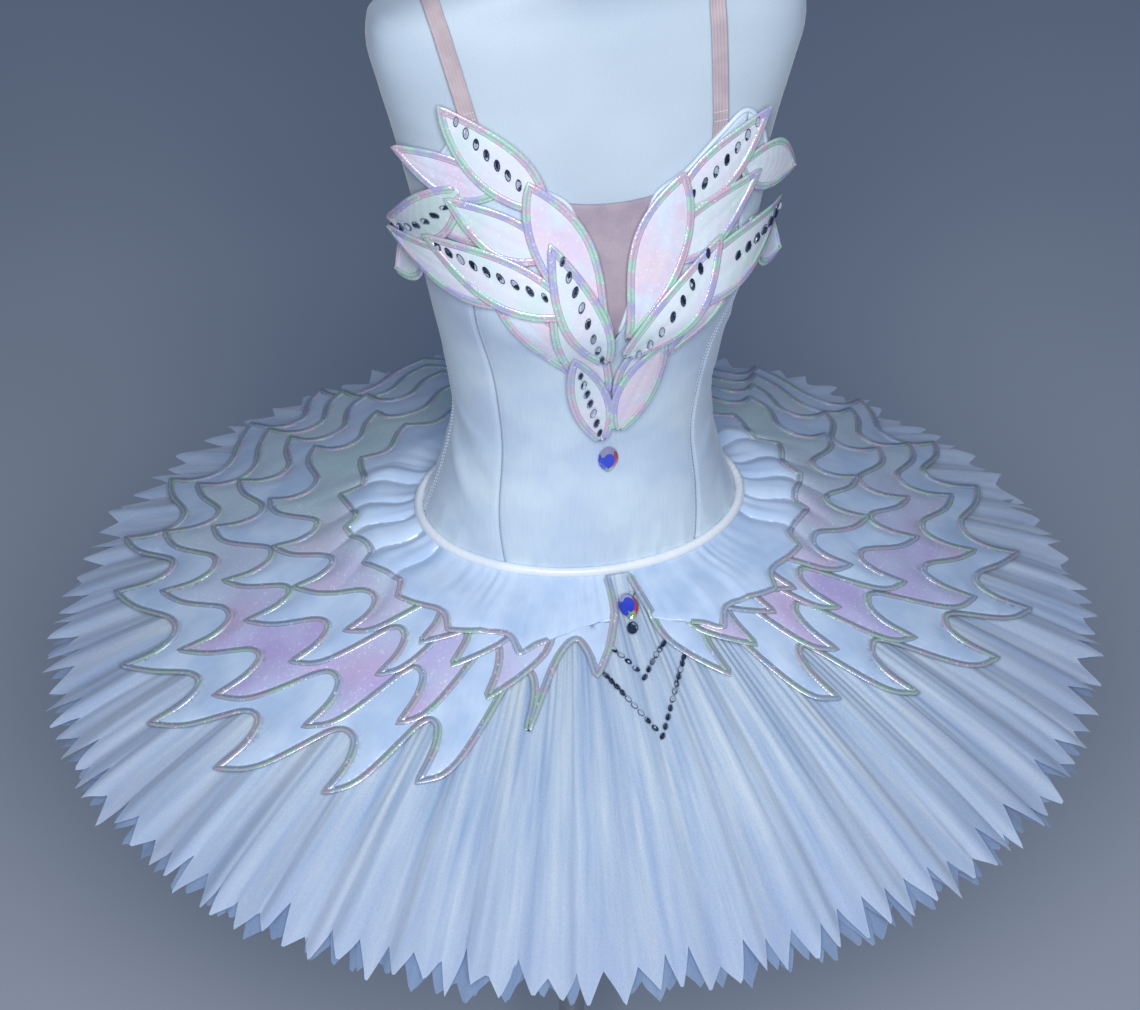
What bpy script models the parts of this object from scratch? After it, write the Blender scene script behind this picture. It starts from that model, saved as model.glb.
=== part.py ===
"""Classical pancake tutu with feather appliques, standing on a limbless dress form.

Frame: metres, +Z up, the wearer faces -Y and the wearer's left is +X.  The origin is the
centre of the stand's underside.  Angles run around the body from the centre front,
positive towards the wearer's left.  Heights on the body are measured from the high-hip
seam, where the bodice ends and the skirt begins.
"""
import math
from dataclasses import dataclass

import bmesh
import bpy
from mathutils import Vector, geometry

# ---------------------------------------------------------------- driving dimensions
HIP_SEAM_Z = 0.950            # height of the high-hip seam above the floor
CLEARANCE = 0.0003            # gap kept between pieces that touch

FORM_RECESS = 0.0035          # the form lies this far inside the figure's line
FORM_BUST_SHARE = 0.75        # share of the bust's fullness that the form itself has
FORM_COLUMNS = 32

CLOTH_INNER = 0.0010          # inner face of the bodice cloth, off the figure's line
CLOTH_WALL = 0.0015
CLOTH_OUTER = CLOTH_INNER + CLOTH_WALL

BUST_ANGLE = math.radians(32)
BUST_SPREAD = math.radians(20)
BUST_HEIGHT = 0.255
BUST_RISE = 0.034
BUST_FULLNESS = 0.016

PIPING_HALF_DEPTH = 0.0035
PIPING_HALF_HEIGHT = 0.0045
PIPING_OUT = CLOTH_OUTER + PIPING_HALF_DEPTH + 0.0008

SKIRT_ROOT_Z = -0.014         # top net's sewn edge, below the high-hip seam
SKIRT_ROOT_OUT = 0.0039
SKIRT_RUN = 0.337             # from the sewn edge to the points, seen from above
SKIRT_DROP = 0.138
SKIRT_CONVEXITY = 0.15        # share of the drop that comes only towards the hem
SKIRT_TILT = 0.030            # the skirt stands a little higher at the back
NET_WALL = 0.0013
NET_SPACING_ROOT = 0.0130     # height between two nets at the sewn edges
NET_SPACING_HEM = 0.0086
PLEAT_RISE_ROOT = 0.0010
PLEAT_RISE_HEM = 0.0031
DAG_DEPTH = 0.027             # depth of the points cut into each hem

PLATE_WALL = 0.0012
PLATE_FIRST_LIFT = 0.0066     # underside of the lowest plate tier over the net's mid face
PLATE_LIFT_STEP = 0.0027
PLATE_GRID_ANGLE = math.radians(11)
PLATE_GRID_RUN = 0.15
PLATE_EDGE_MARGIN = 0.014     # inner points keep this far from a plate's outline

LEAF_WALL = 0.0012
LEAF_FIRST_LIFT = 0.0036      # underside of a leaf that lies straight on the bodice
LEAF_LIFT_STEP = 0.0023
LEAF_CROWN = 0.0008
LEAF_STATIONS = 6
FLAT_RADIUS = 0.135           # turns an angle on the bodice into a flat width

STRAP_WIDTH = 0.013
STRAP_CROWN = 0.0002
STRAP_WALL = 0.0012
STRAP_OUT = 0.0014

POLE_RADIUS = 0.0125
BASE_RADIUS = 0.200
BASE_THICKNESS = 0.008
BASE_CHAMFER = 0.002
HUB_RADIUS = 0.022
HUB_HEIGHT = 0.030

SIDES = (("L", 1), ("R", -1))


@dataclass(frozen=True)
class Section:
    """Level section of the figure: an oval with its own front and back depth."""
    height: float
    half_width: float
    front: float
    back: float
    squareness: float = 2.0   # 2 is an ellipse, and more fills out its corners


FIGURE = (
    #       height  half_width front  back  squareness
    Section(-0.230, 0.128, 0.098, 0.100),
    Section(-0.200, 0.146, 0.108, 0.112),
    Section(-0.120, 0.152, 0.110, 0.118),
    Section(-0.060, 0.147, 0.107, 0.112),
    Section(0.000, 0.134, 0.101, 0.100),
    Section(0.050, 0.118, 0.093, 0.088),
    Section(0.105, 0.108, 0.086, 0.078),
    Section(0.160, 0.114, 0.092, 0.084),
    Section(0.214, 0.124, 0.100, 0.092),
    Section(0.260, 0.133, 0.108, 0.098),
    Section(0.300, 0.141, 0.104, 0.101, 2.05),
    Section(0.335, 0.149, 0.096, 0.100, 2.15),
    Section(0.380, 0.159, 0.083, 0.096, 2.35),
    Section(0.420, 0.169, 0.073, 0.088, 2.55),
    Section(0.455, 0.176, 0.064, 0.077, 2.75),
    Section(0.475, 0.174, 0.058, 0.068, 2.80),
    Section(0.490, 0.154, 0.053, 0.061, 2.70),
    Section(0.502, 0.124, 0.053, 0.058, 2.50),
    Section(0.515, 0.086, 0.054, 0.058, 2.20),
    Section(0.530, 0.064, 0.056, 0.058),
    Section(0.560, 0.058, 0.056, 0.057),
    Section(0.600, 0.056, 0.054, 0.056),
)

# angle from the centre front (degrees), height of the bodice's upper edge
NECKLINE = ((0, 0.233), (6.5, 0.2915), (13, 0.350), (22, 0.364), (32, 0.388), (39, 0.402), (48, 0.384),
            (60, 0.346), (75, 0.314), (92, 0.296), (120, 0.282), (150, 0.266), (180, 0.255))
BODICE_FOOT = -0.006
BODICE_ROWS = 11

# height on the body, angle of the seam (degrees)
PRINCESS_SEAM = ((-0.006, 36.5), (0.055, 45.5), (0.120, 47.5), (0.200, 48.0), (0.290, 46.5), (0.410, 40.0))
SIDE_SEAM = ((-0.006, 92.0), (0.410, 92.0))
BACK_SEAM = ((-0.006, 136.0), (0.120, 139.0), (0.410, 134.0))
CENTRE_BACK = ((-0.006, 180.0), (0.410, 180.0))

# panel name, seam towards the front, seam towards the back, spans across
PANELS = (("bodice_side_front", PRINCESS_SEAM, SIDE_SEAM, 5),
          ("bodice_side_back", SIDE_SEAM, BACK_SEAM, 4),
          ("bodice_back", BACK_SEAM, CENTRE_BACK, 4))
FRONT_SHARES = (0.15, 0.29, 0.50, 0.75, 1.0)     # columns of half the centre front

# side letter, side, distance from the middle at the shoulder's ridge and at the front end,
# height of the front end
STRAPS = (("L", 1, 0.089, 0.090, 0.399), ("R", -1, 0.128, 0.106, 0.416))
STRAP_BACK_ACROSS = 0.072
STRAP_BACK_HEIGHT = 0.276
STRAP_SPANS = 11              # spans in front of the ridge, and as many behind it


@dataclass(frozen=True)
class Net:
    """One gathered net of the skirt."""
    name: str
    level: int
    pleats: int
    columns_per_pleat: int
    run: float


NETS = (
    Net("net_1_top", 0, 50, 4, SKIRT_RUN),
    Net("net_2", 1, 36, 2, 0.333),
    Net("net_3", 2, 30, 2, 0.326),
    Net("net_4", 3, 26, 2, 0.306),
    Net("net_5", 4, 20, 2, 0.262),
    Net("net_6_lowest", 5, 14, 2, 0.190),
)


@dataclass(frozen=True)
class Tier:
    """One lobed tier of the plate that lies on the skirt, for one side of the body."""
    name: str
    level: int
    lobes: int
    first_tip: float          # angle of the foremost tip, degrees
    inner: float              # share of the skirt's run where the tier begins
    lobe_depth: float         # share of the skirt's run
    reach: tuple              # rows of angle in degrees, share of the run that the tips reach


TIERS = (
    Tier("plate_outer", 0, 12, 19.5, 0.125, 0.145,
         ((15, 0.35), (33, 0.54), (47, 0.67), (61, 0.74), (90, 0.79), (128, 0.86), (172, 0.90))),
    Tier("plate_middle", 1, 11, 27.0, 0.165, 0.135,
         ((15, 0.24), (31, 0.35), (45, 0.49), (61, 0.58), (90, 0.66), (128, 0.74), (172, 0.80))),
    Tier("plate_inner", 2, 10, 36.0, 0.165, 0.120,
         ((30, 0.24), (45, 0.34), (61, 0.42), (90, 0.50), (128, 0.60), (172, 0.68))),
    Tier("plate_crown", 3, 8, 46.0, 0.165, 0.105,
         ((40, 0.24), (61, 0.30), (90, 0.36), (128, 0.45), (172, 0.52))),
)
PLATE_TRIM = {"L": 0.26, "R": 0.0}     # how much shorter each side's foremost tips are
PLATE_TRIM_FROM = 70.0                 # the trim fades out at this angle, degrees
PLATE_LEAST_WIDTH = 0.030              # a bay never comes closer to the inner edge, share of the run
PLATE_FRONT_ANGLE = 7.5
PLATE_BACK_ANGLE = 176.0
TIER_FRONT_INSET = 9.0        # each higher tier begins this many degrees further back

YOKE_INNER = 0.026
YOKE_OUTER = 0.158
YOKE_FOLDS = 10
YOKE_FOLD_FIRST = 58.0
YOKE_FOLD_LAST = 122.0
YOKE_FOLD_RISE = 0.0030
YOKE_ROWS = 2
YOKE_PLAIN_COLUMNS = 5

BRIEF_TOP = -0.0066
BRIEF_LOW_FRONT = -0.188      # lower edge at the centre front and back
BRIEF_LOW_SIDE = -0.104       # lower edge over the hips, at the leg openings
BRIEF_COLUMNS = 32
BRIEF_ROWS = 3


@dataclass(frozen=True)
class Leaf:
    """One feather applique of the bust, from its covered base to its free tip."""
    name: str
    base: tuple               # angle in degrees, height
    tip: tuple
    width: float
    bend: float               # sideways bow of the middle line, to the left seen from base to tip
    levels: tuple             # lift level at the base and at the tip
    flare: float = 0.0        # how far the tip stands off


LEAVES = (
    # viewer's left: wearer's right
    Leaf("feather_r_top", (-19, 0.348), (-41, 0.429), 0.032, 0.004, (1.2, 2.0)),
    Leaf("feather_r_shoulder", (-31, 0.362), (-64, 0.386), 0.030, 0.004, (0.0, 0.8), 0.005),
    Leaf("feather_r_wing", (-43, 0.362), (-87, 0.303), 0.029, 0.010, (1.6, 2.6), 0.009),
    Leaf("feather_r_under", (-24, 0.334), (-70, 0.330), 0.022, 0.003, (0.0, 0.3)),
    Leaf("feather_r_mid", (-19, 0.314), (-47, 0.353), 0.029, 0.004, (1.4, 3.0)),
    Leaf("feather_r_long", (-17, 0.291), (-81, 0.303), 0.030, 0.006, (1.7, 4.6), 0.008),
    Leaf("feather_r_jewelled", (-13, 0.272), (-59, 0.316), 0.031, -0.003, (3.5, 5.2)),
    Leaf("feather_r_neck", (-3, 0.238), (-22, 0.371), 0.028, 0.004, (2.2, 3.4)),
    Leaf("feather_r_inner", (-2.5, 0.214), (-18, 0.326), 0.024, 0.002, (3.4, 5.2)),
    Leaf("feather_r_pale", (-6, 0.188), (-41, 0.294), 0.026, -0.005, (0.4, 0.7)),
    Leaf("feather_r_low", (-1.5, 0.174), (-19, 0.279), 0.025, 0.002, (1.6, 2.5)),
    Leaf("feather_r_point", (-1.8, 0.126), (-13, 0.223), 0.026, 0.001, (2.6, 3.6)),
    Leaf("feather_r_side", (-66, 0.318), (-96, 0.256), 0.026, -0.003, (0.0, 1.0), 0.010),
    # viewer's right: wearer's left
    Leaf("feather_l_top", (18, 0.338), (44, 0.402), 0.030, -0.004, (1.5, 2.2)),
    Leaf("feather_l_upper", (16, 0.324), (43, 0.380), 0.024, -0.003, (0.1, 0.7)),
    Leaf("feather_l_wing", (40, 0.360), (73, 0.331), 0.030, 0.002, (0.8, 2.0), 0.012),
    Leaf("feather_l_mid", (13, 0.304), (46, 0.352), 0.030, -0.004, (1.3, 2.8)),
    Leaf("feather_l_jewelled", (11, 0.270), (70, 0.308), 0.033, 0.004, (3.8, 5.2)),
    Leaf("feather_l_neck", (2.6, 0.238), (19, 0.368), 0.028, -0.004, (2.2, 3.4)),
    Leaf("feather_l_inner", (2.4, 0.222), (30, 0.316), 0.027, -0.003, (4.4, 6.0)),
    Leaf("feather_l_pale", (4, 0.186), (42, 0.284), 0.027, 0.004, (0.6, 0.9)),
    Leaf("feather_l_low", (2.6, 0.168), (22, 0.266), 0.025, 0.002, (1.8, 2.7)),
    Leaf("feather_l_point", (3.2, 0.136), (14.7, 0.233), 0.028, -0.002, (2.9, 3.8)),
    Leaf("feather_l_side", (50, 0.308), (78, 0.268), 0.029, 0.002, (0.0, 1.0), 0.010),
)

JEWEL_LENGTH = 0.022
JEWEL_WIDTH = 0.015
JEWEL_DEPTH = 0.005
JEWEL_SIDES = 12
WAIST_JEWEL = (1.0, 0.104, 0.0052)     # angle in degrees, height, lift
SKIRT_JEWEL = (4.0, 0.085, 0.0052)     # angle in degrees, share of the run, lift


# ---------------------------------------------------------------- materials
def make_material(name, colour, roughness, metallic=0.0):
    """Principled material with a linear base colour."""
    material = bpy.data.materials.new(name)
    material.use_nodes = True
    shader = material.node_tree.nodes["Principled BSDF"]
    shader.inputs["Base Color"].default_value = (*colour, 1.0)
    shader.inputs["Roughness"].default_value = roughness
    shader.inputs["Metallic"].default_value = metallic
    material.diffuse_color = (*colour, 1.0)
    return material


SATIN = ((0.62, 0.72, 0.86), 0.34)
SHIMMER = ((0.62, 0.60, 0.82), 0.28)
NET_CLOTH = ((0.55, 0.66, 0.86), 0.80)
MESH_CLOTH = ((0.48, 0.40, 0.46), 0.75)
ELASTIC = ((0.56, 0.42, 0.40), 0.70)
FORM_COVER = ((0.70, 0.76, 0.84), 0.60)
STEEL = ((0.55, 0.56, 0.58), 0.30, 1.0)
CRYSTAL = ((0.45, 0.55, 0.85), 0.08)
TRIM = ((0.70, 0.78, 0.88), 0.40)


# ---------------------------------------------------------------- curves and surfaces
def smooth_at(rows, place):
    """Read a table of (place, value) rows through a curve that never overshoots a row."""
    places = [row[0] for row in rows]
    values = [row[1] for row in rows]
    if place <= places[0]:
        return values[0]
    if place >= places[-1]:
        return values[-1]
    index = max(i for i in range(len(places) - 1) if places[i] <= place)
    steps = [places[i + 1] - places[i] for i in range(len(places) - 1)]
    slopes = [(values[i + 1] - values[i]) / steps[i] for i in range(len(steps))]

    def tangent(i):
        if i in (0, len(slopes)):
            return slopes[0] if i == 0 else slopes[-1]
        before, after = slopes[i - 1], slopes[i]
        if before * after <= 0.0:
            return 0.0
        return 2.0 * before * after / (before + after)

    step = steps[index]
    share = (place - places[index]) / step
    square, cube = share * share, share ** 3
    return (values[index] * (2 * cube - 3 * square + 1)
            + values[index + 1] * (3 * square - 2 * cube)
            + tangent(index) * step * (cube - 2 * square + share)
            + tangent(index + 1) * step * (cube - square))


HALF_WIDTHS = tuple((row.height, row.half_width) for row in FIGURE)
FRONTS = tuple((row.height, row.front) for row in FIGURE)
BACKS = tuple((row.height, row.back) for row in FIGURE)
SQUARENESS = tuple((row.height, row.squareness) for row in FIGURE)


def bust_fullness(angle, height):
    """Soft rise of the two cups of a general figure."""
    rise = math.exp(-0.5 * ((height - BUST_HEIGHT) / BUST_RISE) ** 2)
    across = sum(math.exp(-0.5 * ((angle - side * BUST_ANGLE) / BUST_SPREAD) ** 2) for side in (-1, 1))
    return BUST_FULLNESS * rise * across


def body_point(angle, height, out=0.0, bust_share=1.0):
    """Point on the figure, moved out by `out`."""
    extra = out + bust_share * bust_fullness(angle, height)
    depths = FRONTS if math.cos(angle) > 0.0 else BACKS
    power = smooth_at(SQUARENESS, height)
    fill = (abs(math.sin(angle)) ** power + abs(math.cos(angle)) ** power) ** (-1.0 / power)
    across = (smooth_at(HALF_WIDTHS, height) + extra) * fill * math.sin(angle)
    along = -(smooth_at(depths, height) + extra) * fill * math.cos(angle)
    return Vector((across, along, HIP_SEAM_Z + height))


def skirt_point(angle, share, lift=0.0):
    """Point on the smooth middle face of the top net, `share` of the way to the hem."""
    run = SKIRT_RUN * share + SKIRT_ROOT_OUT
    ring = body_point(angle, SKIRT_ROOT_Z, run, 0.0)
    fall = SKIRT_DROP * share * (1.0 - SKIRT_CONVEXITY + SKIRT_CONVEXITY * share)
    ring.z += SKIRT_TILT * ring.y * share - fall + lift
    return ring


def pleat_wave(net, angle):
    """Uneven radial pleats between -1 and 1, a whole number around the skirt."""
    drift = 0.35 * math.sin(3 * angle + net.level) + 0.25 * math.sin(5 * angle - 2 * net.level)
    return math.cos(net.pleats * angle + drift)


def net_point(net, angle, share, lift):
    """Point on one net: the skirt's face, lowered by level, with the net's own pleats."""
    spacing = NET_SPACING_ROOT + (NET_SPACING_HEM - NET_SPACING_ROOT) * share
    rise = PLEAT_RISE_ROOT + (PLEAT_RISE_HEM - PLEAT_RISE_ROOT) * share
    return skirt_point(angle, share, lift - net.level * spacing + rise * pleat_wave(net, angle))


# ---------------------------------------------------------------- mesh builders
def add_object(name, points, faces, finish, sharp=40.0):
    """Make one closed, outward-facing object of points and faces."""
    mesh = bpy.data.meshes.new(name)
    mesh.from_pydata([tuple(point) for point in points], [], faces)
    edit = bmesh.new()
    edit.from_mesh(mesh)
    bmesh.ops.recalc_face_normals(edit, faces=edit.faces)
    edit.to_mesh(mesh)
    edit.free()
    mesh.shade_smooth()
    mesh.set_sharp_from_angle(angle=math.radians(sharp))
    item = bpy.data.objects.new(name, mesh)
    item.data.materials.append(make_material(name, *finish))
    bpy.context.collection.objects.link(item)
    return item


def wall_from_grid(name, outer, inner, finish, closed=False, sharp=40.0):
    """Close two matching grids of points, rows of columns, into one wall."""
    rows, columns = len(outer), len(outer[0])
    points = [point for row in outer for point in row] + [point for row in inner for point in row]
    offset = rows * columns
    spans = columns if closed else columns - 1

    def at(row, column):
        return row * columns + column % columns

    faces = []
    for row in range(rows - 1):
        for column in range(spans):
            square = [at(row, column), at(row, column + 1), at(row + 1, column + 1), at(row + 1, column)]
            faces.append(square)
            faces.append([offset + index for index in reversed(square)])
    rims = [(at(row, column), at(row, column + 1)) for row in (0, rows - 1) for column in range(spans)]
    if not closed:
        rims += [(at(row, column), at(row + 1, column)) for column in (0, columns - 1) for row in range(rows - 1)]
    faces += [[first, second, offset + second, offset + first] for first, second in rims]
    return add_object(name, points, faces, finish, sharp)


def wall_from_outline(name, outline, inner, flat, outer_face, inner_face, finish, sharp=40.0):
    """Close a flat outline into a wall on a surface.

    `outline` and `inner` are pairs of surface parameters, `flat` lays a pair out flat, and
    the two face functions give the wall's points.
    """
    pairs = list(outline) + list(inner)
    count = len(outline)
    loop = [(index, (index + 1) % count) for index in range(count)]
    _, _, triangles, originals, _, _ = geometry.delaunay_2d_cdt(
        [Vector(flat(*pair)) for pair in pairs], loop, [], 1, 1e-6)
    triangles = [[originals[index][0] for index in triangle] for triangle in triangles]
    used = sorted({index for triangle in triangles for index in triangle})
    renumber = {index: place for place, index in enumerate(used)}
    points = [outer_face(*pairs[index]) for index in used] + [inner_face(*pairs[index]) for index in used]
    offset = len(used)
    faces = []
    borders = {}
    for triangle in triangles:
        corners = [renumber[index] for index in triangle]
        faces.append(corners)
        faces.append([offset + index for index in reversed(corners)])
        for first, second in zip(corners, corners[1:] + corners[:1]):
            key = (min(first, second), max(first, second))
            borders[key] = borders.get(key, 0) + 1
    faces += [[first, second, offset + second, offset + first]
              for (first, second), uses in borders.items() if uses == 1]
    return add_object(name, points, faces, finish, sharp)


def lathe(name, profile, sides, finish, sharp=30.0):
    """Turn a profile of (radius, height) rows, which starts and ends on the axis."""
    rings = [[Vector((radius * math.cos(2 * math.pi * side / sides),
                      radius * math.sin(2 * math.pi * side / sides), height)) for side in range(sides)]
             for radius, height in profile]
    points = [point for ring in rings for point in ring]
    faces = [[row * sides + side, row * sides + (side + 1) % sides,
              (row + 1) * sides + (side + 1) % sides, (row + 1) * sides + side]
             for row in range(len(rings) - 1) for side in range(sides)]
    faces.append([side for side in range(sides)])
    faces.append([(len(rings) - 1) * sides + side for side in range(sides)])
    return add_object(name, points, faces, finish, sharp)


# ---------------------------------------------------------------- dress form and stand
def build_form():
    """Smooth limbless torso with its neck, on a pole and a round flat base."""
    heights = [row.height for row in FIGURE if row.height != 0.502]
    rings = [[body_point(2 * math.pi * column / FORM_COLUMNS, height, -FORM_RECESS, FORM_BUST_SHARE)
              for column in range(FORM_COLUMNS)] for height in heights]
    points = [point for ring in rings for point in ring]
    faces = [[row * FORM_COLUMNS + column, row * FORM_COLUMNS + (column + 1) % FORM_COLUMNS,
              (row + 1) * FORM_COLUMNS + (column + 1) % FORM_COLUMNS, (row + 1) * FORM_COLUMNS + column]
             for row in range(len(rings) - 1) for column in range(FORM_COLUMNS)]
    faces.append(list(range(FORM_COLUMNS)))
    faces.append([(len(rings) - 1) * FORM_COLUMNS + column for column in range(FORM_COLUMNS)])
    add_object("form_torso", points, faces, FORM_COVER, 50.0)

    lathe("form_base", ((BASE_RADIUS - BASE_CHAMFER, 0.0), (BASE_RADIUS, BASE_CHAMFER),
                        (BASE_RADIUS, BASE_THICKNESS - BASE_CHAMFER),
                        (BASE_RADIUS - BASE_CHAMFER, BASE_THICKNESS)), 48, STEEL)
    hub_foot = BASE_THICKNESS + CLEARANCE
    lathe("form_hub", ((HUB_RADIUS, hub_foot), (HUB_RADIUS, hub_foot + HUB_HEIGHT)), 24, STEEL)
    foot = hub_foot + HUB_HEIGHT + CLEARANCE
    top = HIP_SEAM_Z + FIGURE[0].height - CLEARANCE
    lathe("form_pole", ((POLE_RADIUS, foot), (POLE_RADIUS, top)), 20, STEEL)


# ---------------------------------------------------------------- bodice
def seam_place(seam, share):
    """Angle and height where a seam crosses the row that lies `share` up the bodice."""
    height = BODICE_FOOT
    angle = smooth_at(seam, height)
    for _ in range(6):
        height = BODICE_FOOT + share * (smooth_at(NECKLINE, angle) - BODICE_FOOT)
        angle = smooth_at(seam, height)
    return angle


def build_panel(name, side, first_angles, last_angles, shares_across):
    """Bodice panel between two seams, given as the seams' angles on each row."""
    columns = len(shares_across) - 1
    gap = math.degrees(0.7 * CLEARANCE / 0.11)
    outer, inner = [], []
    for row in range(BODICE_ROWS + 1):
        share = row / BODICE_ROWS
        first, last = first_angles[row], last_angles[row]
        outer_row, inner_row = [], []
        for column, across in enumerate(shares_across):
            angle = first + (last - first) * across
            height = BODICE_FOOT + share * (smooth_at(NECKLINE, abs(angle)) - BODICE_FOOT)
            angle += gap * (1 if column == 0 else -1 if column == columns else 0)
            turned = math.radians(side * angle)
            outer_row.append(body_point(turned, height, CLOTH_OUTER))
            inner_row.append(body_point(turned, height, CLOTH_INNER))
        outer.append(outer_row)
        inner.append(inner_row)
    wall_from_grid(name, outer, inner, SATIN)


def build_bodice():
    """Boned bodice: centre front, and three panels a side round to the centre back."""
    shares = [row / BODICE_ROWS for row in range(BODICE_ROWS + 1)]
    princess = [seam_place(PRINCESS_SEAM, share) for share in shares]
    half = [0.5 + 0.5 * share for share in FRONT_SHARES]
    across_front = [1.0 - share for share in reversed(half)] + [0.5] + half
    build_panel("bodice_centre_front", 1, [-angle for angle in princess], princess, across_front)
    for name, front_seam, back_seam, spans in PANELS:
        front_angles = [seam_place(front_seam, share) for share in shares]
        back_angles = [seam_place(back_seam, share) for share in shares]
        for letter, side in SIDES:
            build_panel(f"{name}_{letter}", side, front_angles, back_angles,
                        [span / spans for span in range(spans + 1)])


def build_neck_insert():
    """Skin-toned mesh that fills the deep V of the neckline."""
    corner_angle, corner_height = NECKLINE[2]
    foot = NECKLINE[0][1]
    trim = 0.60                # degrees kept between the insert and the V's edge
    levels = (0.34, 0.62, 0.84)
    right = [(corner_angle * share - trim, foot + (corner_height - foot) * share) for share in levels]
    top = [(corner_angle - trim - 0.4, corner_height + 0.0015), (4.0, corner_height + 0.0005),
           (-4.0, corner_height + 0.0005), (-corner_angle + trim + 0.4, corner_height + 0.0015)]
    left = [(-angle, height) for angle, height in reversed(right)]
    outline = [(0.0, foot + 0.007)] + right + top + left
    inner = [(0.0, foot + (corner_height - foot) * share) for share in (0.45, 0.70, 0.88)]

    def flat(angle, height):
        return (math.radians(angle) * FLAT_RADIUS, height)

    wall_from_outline("neck_insert", outline, inner, flat,
                      lambda angle, height: body_point(math.radians(angle), height, CLOTH_INNER + 0.0012),
                      lambda angle, height: body_point(math.radians(angle), height, CLOTH_INNER),
                      MESH_CLOTH)


def halve(low, high, is_low):
    """Narrow a range down to where `is_low` turns false."""
    for _ in range(30):
        middle = 0.5 * (low + high)
        if is_low(middle):
            low = middle
        else:
            high = middle
    return 0.5 * (low + high)


def strap_place(strap, along):
    """Angle and height of a strap's middle line, from -1 at the front to 1 at the back."""
    _, _, ridge_across, front_across, front_height = strap
    ridge = halve(0.480, 0.530, lambda height: smooth_at(HALF_WIDTHS, height) > ridge_across)
    end_across = front_across if along < 0 else STRAP_BACK_ACROSS
    end_height = front_height if along < 0 else STRAP_BACK_HEIGHT
    height = ridge - 0.0002 - (ridge - end_height) * along ** 2
    across = ridge_across + (end_across - ridge_across) * along ** 2 - 0.0002
    angle = halve(0.0, 0.5 * math.pi, lambda turn: body_point(turn, height, 0.0, 0.0).x < across)
    return (angle if along < 0 else math.pi - angle), height


def build_straps():
    """Elastic straps from the bust over the shoulders to the back of the bodice."""
    small = 0.002
    for strap in STRAPS:
        letter, side = strap[0], strap[1]
        spots = []
        for span in range(-STRAP_SPANS, STRAP_SPANS + 1):
            angle, height = strap_place(strap, span / STRAP_SPANS)
            here = body_point(angle, height)
            normal = (body_point(angle + small, height) - here).cross(body_point(angle, height + small) - here)
            spots.append((here, normal.normalized()))
        outer, inner = [], []
        for place, (here, normal) in enumerate(spots):
            ahead = spots[min(place + 1, len(spots) - 1)][0]
            behind = spots[max(place - 1, 0)][0]
            across = (ahead - behind).cross(normal).normalized() * STRAP_WIDTH / 2
            for face, out in ((outer, STRAP_OUT + STRAP_WALL), (inner, STRAP_OUT)):
                middle = here + normal * out
                row = [middle - across, middle + normal * STRAP_CROWN, middle + across]
                face.append([Vector((side * point.x, point.y, point.z)) for point in row])
        wall_from_grid(f"strap_{letter}", outer, inner, ELASTIC)


def build_piping():
    """Rounded satin piping over the seam where bodice meets skirt."""
    columns, sides = 40, 8
    rings = []
    for column in range(columns):
        angle = 2 * math.pi * column / columns
        ring = []
        for side in range(sides):
            turn = 2 * math.pi * (side + 0.5) / sides
            out = PIPING_OUT + PIPING_HALF_DEPTH * math.cos(turn)
            ring.append(body_point(angle, 0.0, out, 0.0) + Vector((0, 0, PIPING_HALF_HEIGHT * math.sin(turn))))
        rings.append(ring)
    points = [point for ring in rings for point in ring]
    faces = [[column * sides + side, column * sides + (side + 1) % sides,
              (column + 1) % columns * sides + (side + 1) % sides, (column + 1) % columns * sides + side]
             for column in range(columns) for side in range(sides)]
    add_object("basque_piping", points, faces, TRIM, 60.0)


# ---------------------------------------------------------------- skirt
def build_brief():
    """Close-fitting brief that the nets are sewn to, open at the foot for the pole."""
    outer, inner = [], []
    for row in range(BRIEF_ROWS + 1):
        outer_row, inner_row = [], []
        for column in range(BRIEF_COLUMNS):
            angle = 2 * math.pi * column / BRIEF_COLUMNS
            middle = (BRIEF_LOW_FRONT + BRIEF_LOW_SIDE) / 2
            low = middle + (BRIEF_LOW_FRONT - middle) * math.cos(2 * angle)
            height = BRIEF_TOP + (low - BRIEF_TOP) * row / BRIEF_ROWS
            outer_row.append(body_point(angle, height, CLOTH_OUTER, 0.0))
            inner_row.append(body_point(angle, height, CLOTH_INNER, 0.0))
        outer.append(outer_row)
        inner.append(inner_row)
    wall_from_grid("brief", outer, inner, SATIN, closed=True)


def build_net(net):
    """One gathered net: pleated rings from the brief out to a hem cut into points."""
    columns = net.pleats * net.columns_per_pleat
    tip_share = net.run / SKIRT_RUN
    valley_share = (net.run - DAG_DEPTH) / SKIRT_RUN
    drop = net.level * NET_SPACING_ROOT
    half = NET_WALL / 2
    faces_by_lift = []
    for lift in (half, -half):
        root_row, middle_row, hem_row = [], [], []
        for column in range(columns):
            angle = 2 * math.pi * (column + 0.5 * net.level) / columns
            wave = PLEAT_RISE_ROOT * pleat_wave(net, angle)
            root = body_point(angle, SKIRT_ROOT_Z - drop, SKIRT_ROOT_OUT, 0.0)
            root.z += wave + lift
            root_row.append(root)
            middle_row.append(net_point(net, angle, 0.5 * tip_share, lift))
            unevenness = 0.012 * math.sin(7.3 * column + net.level)
            share = (tip_share if column % 2 == 0 else valley_share) + unevenness * (column % 2 == 0)
            hem_row.append(net_point(net, angle, min(share, tip_share), lift))
        faces_by_lift.append([root_row, middle_row, hem_row])
    wall_from_grid(net.name, faces_by_lift[0], faces_by_lift[1], NET_CLOTH, closed=True, sharp=60.0)


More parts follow.
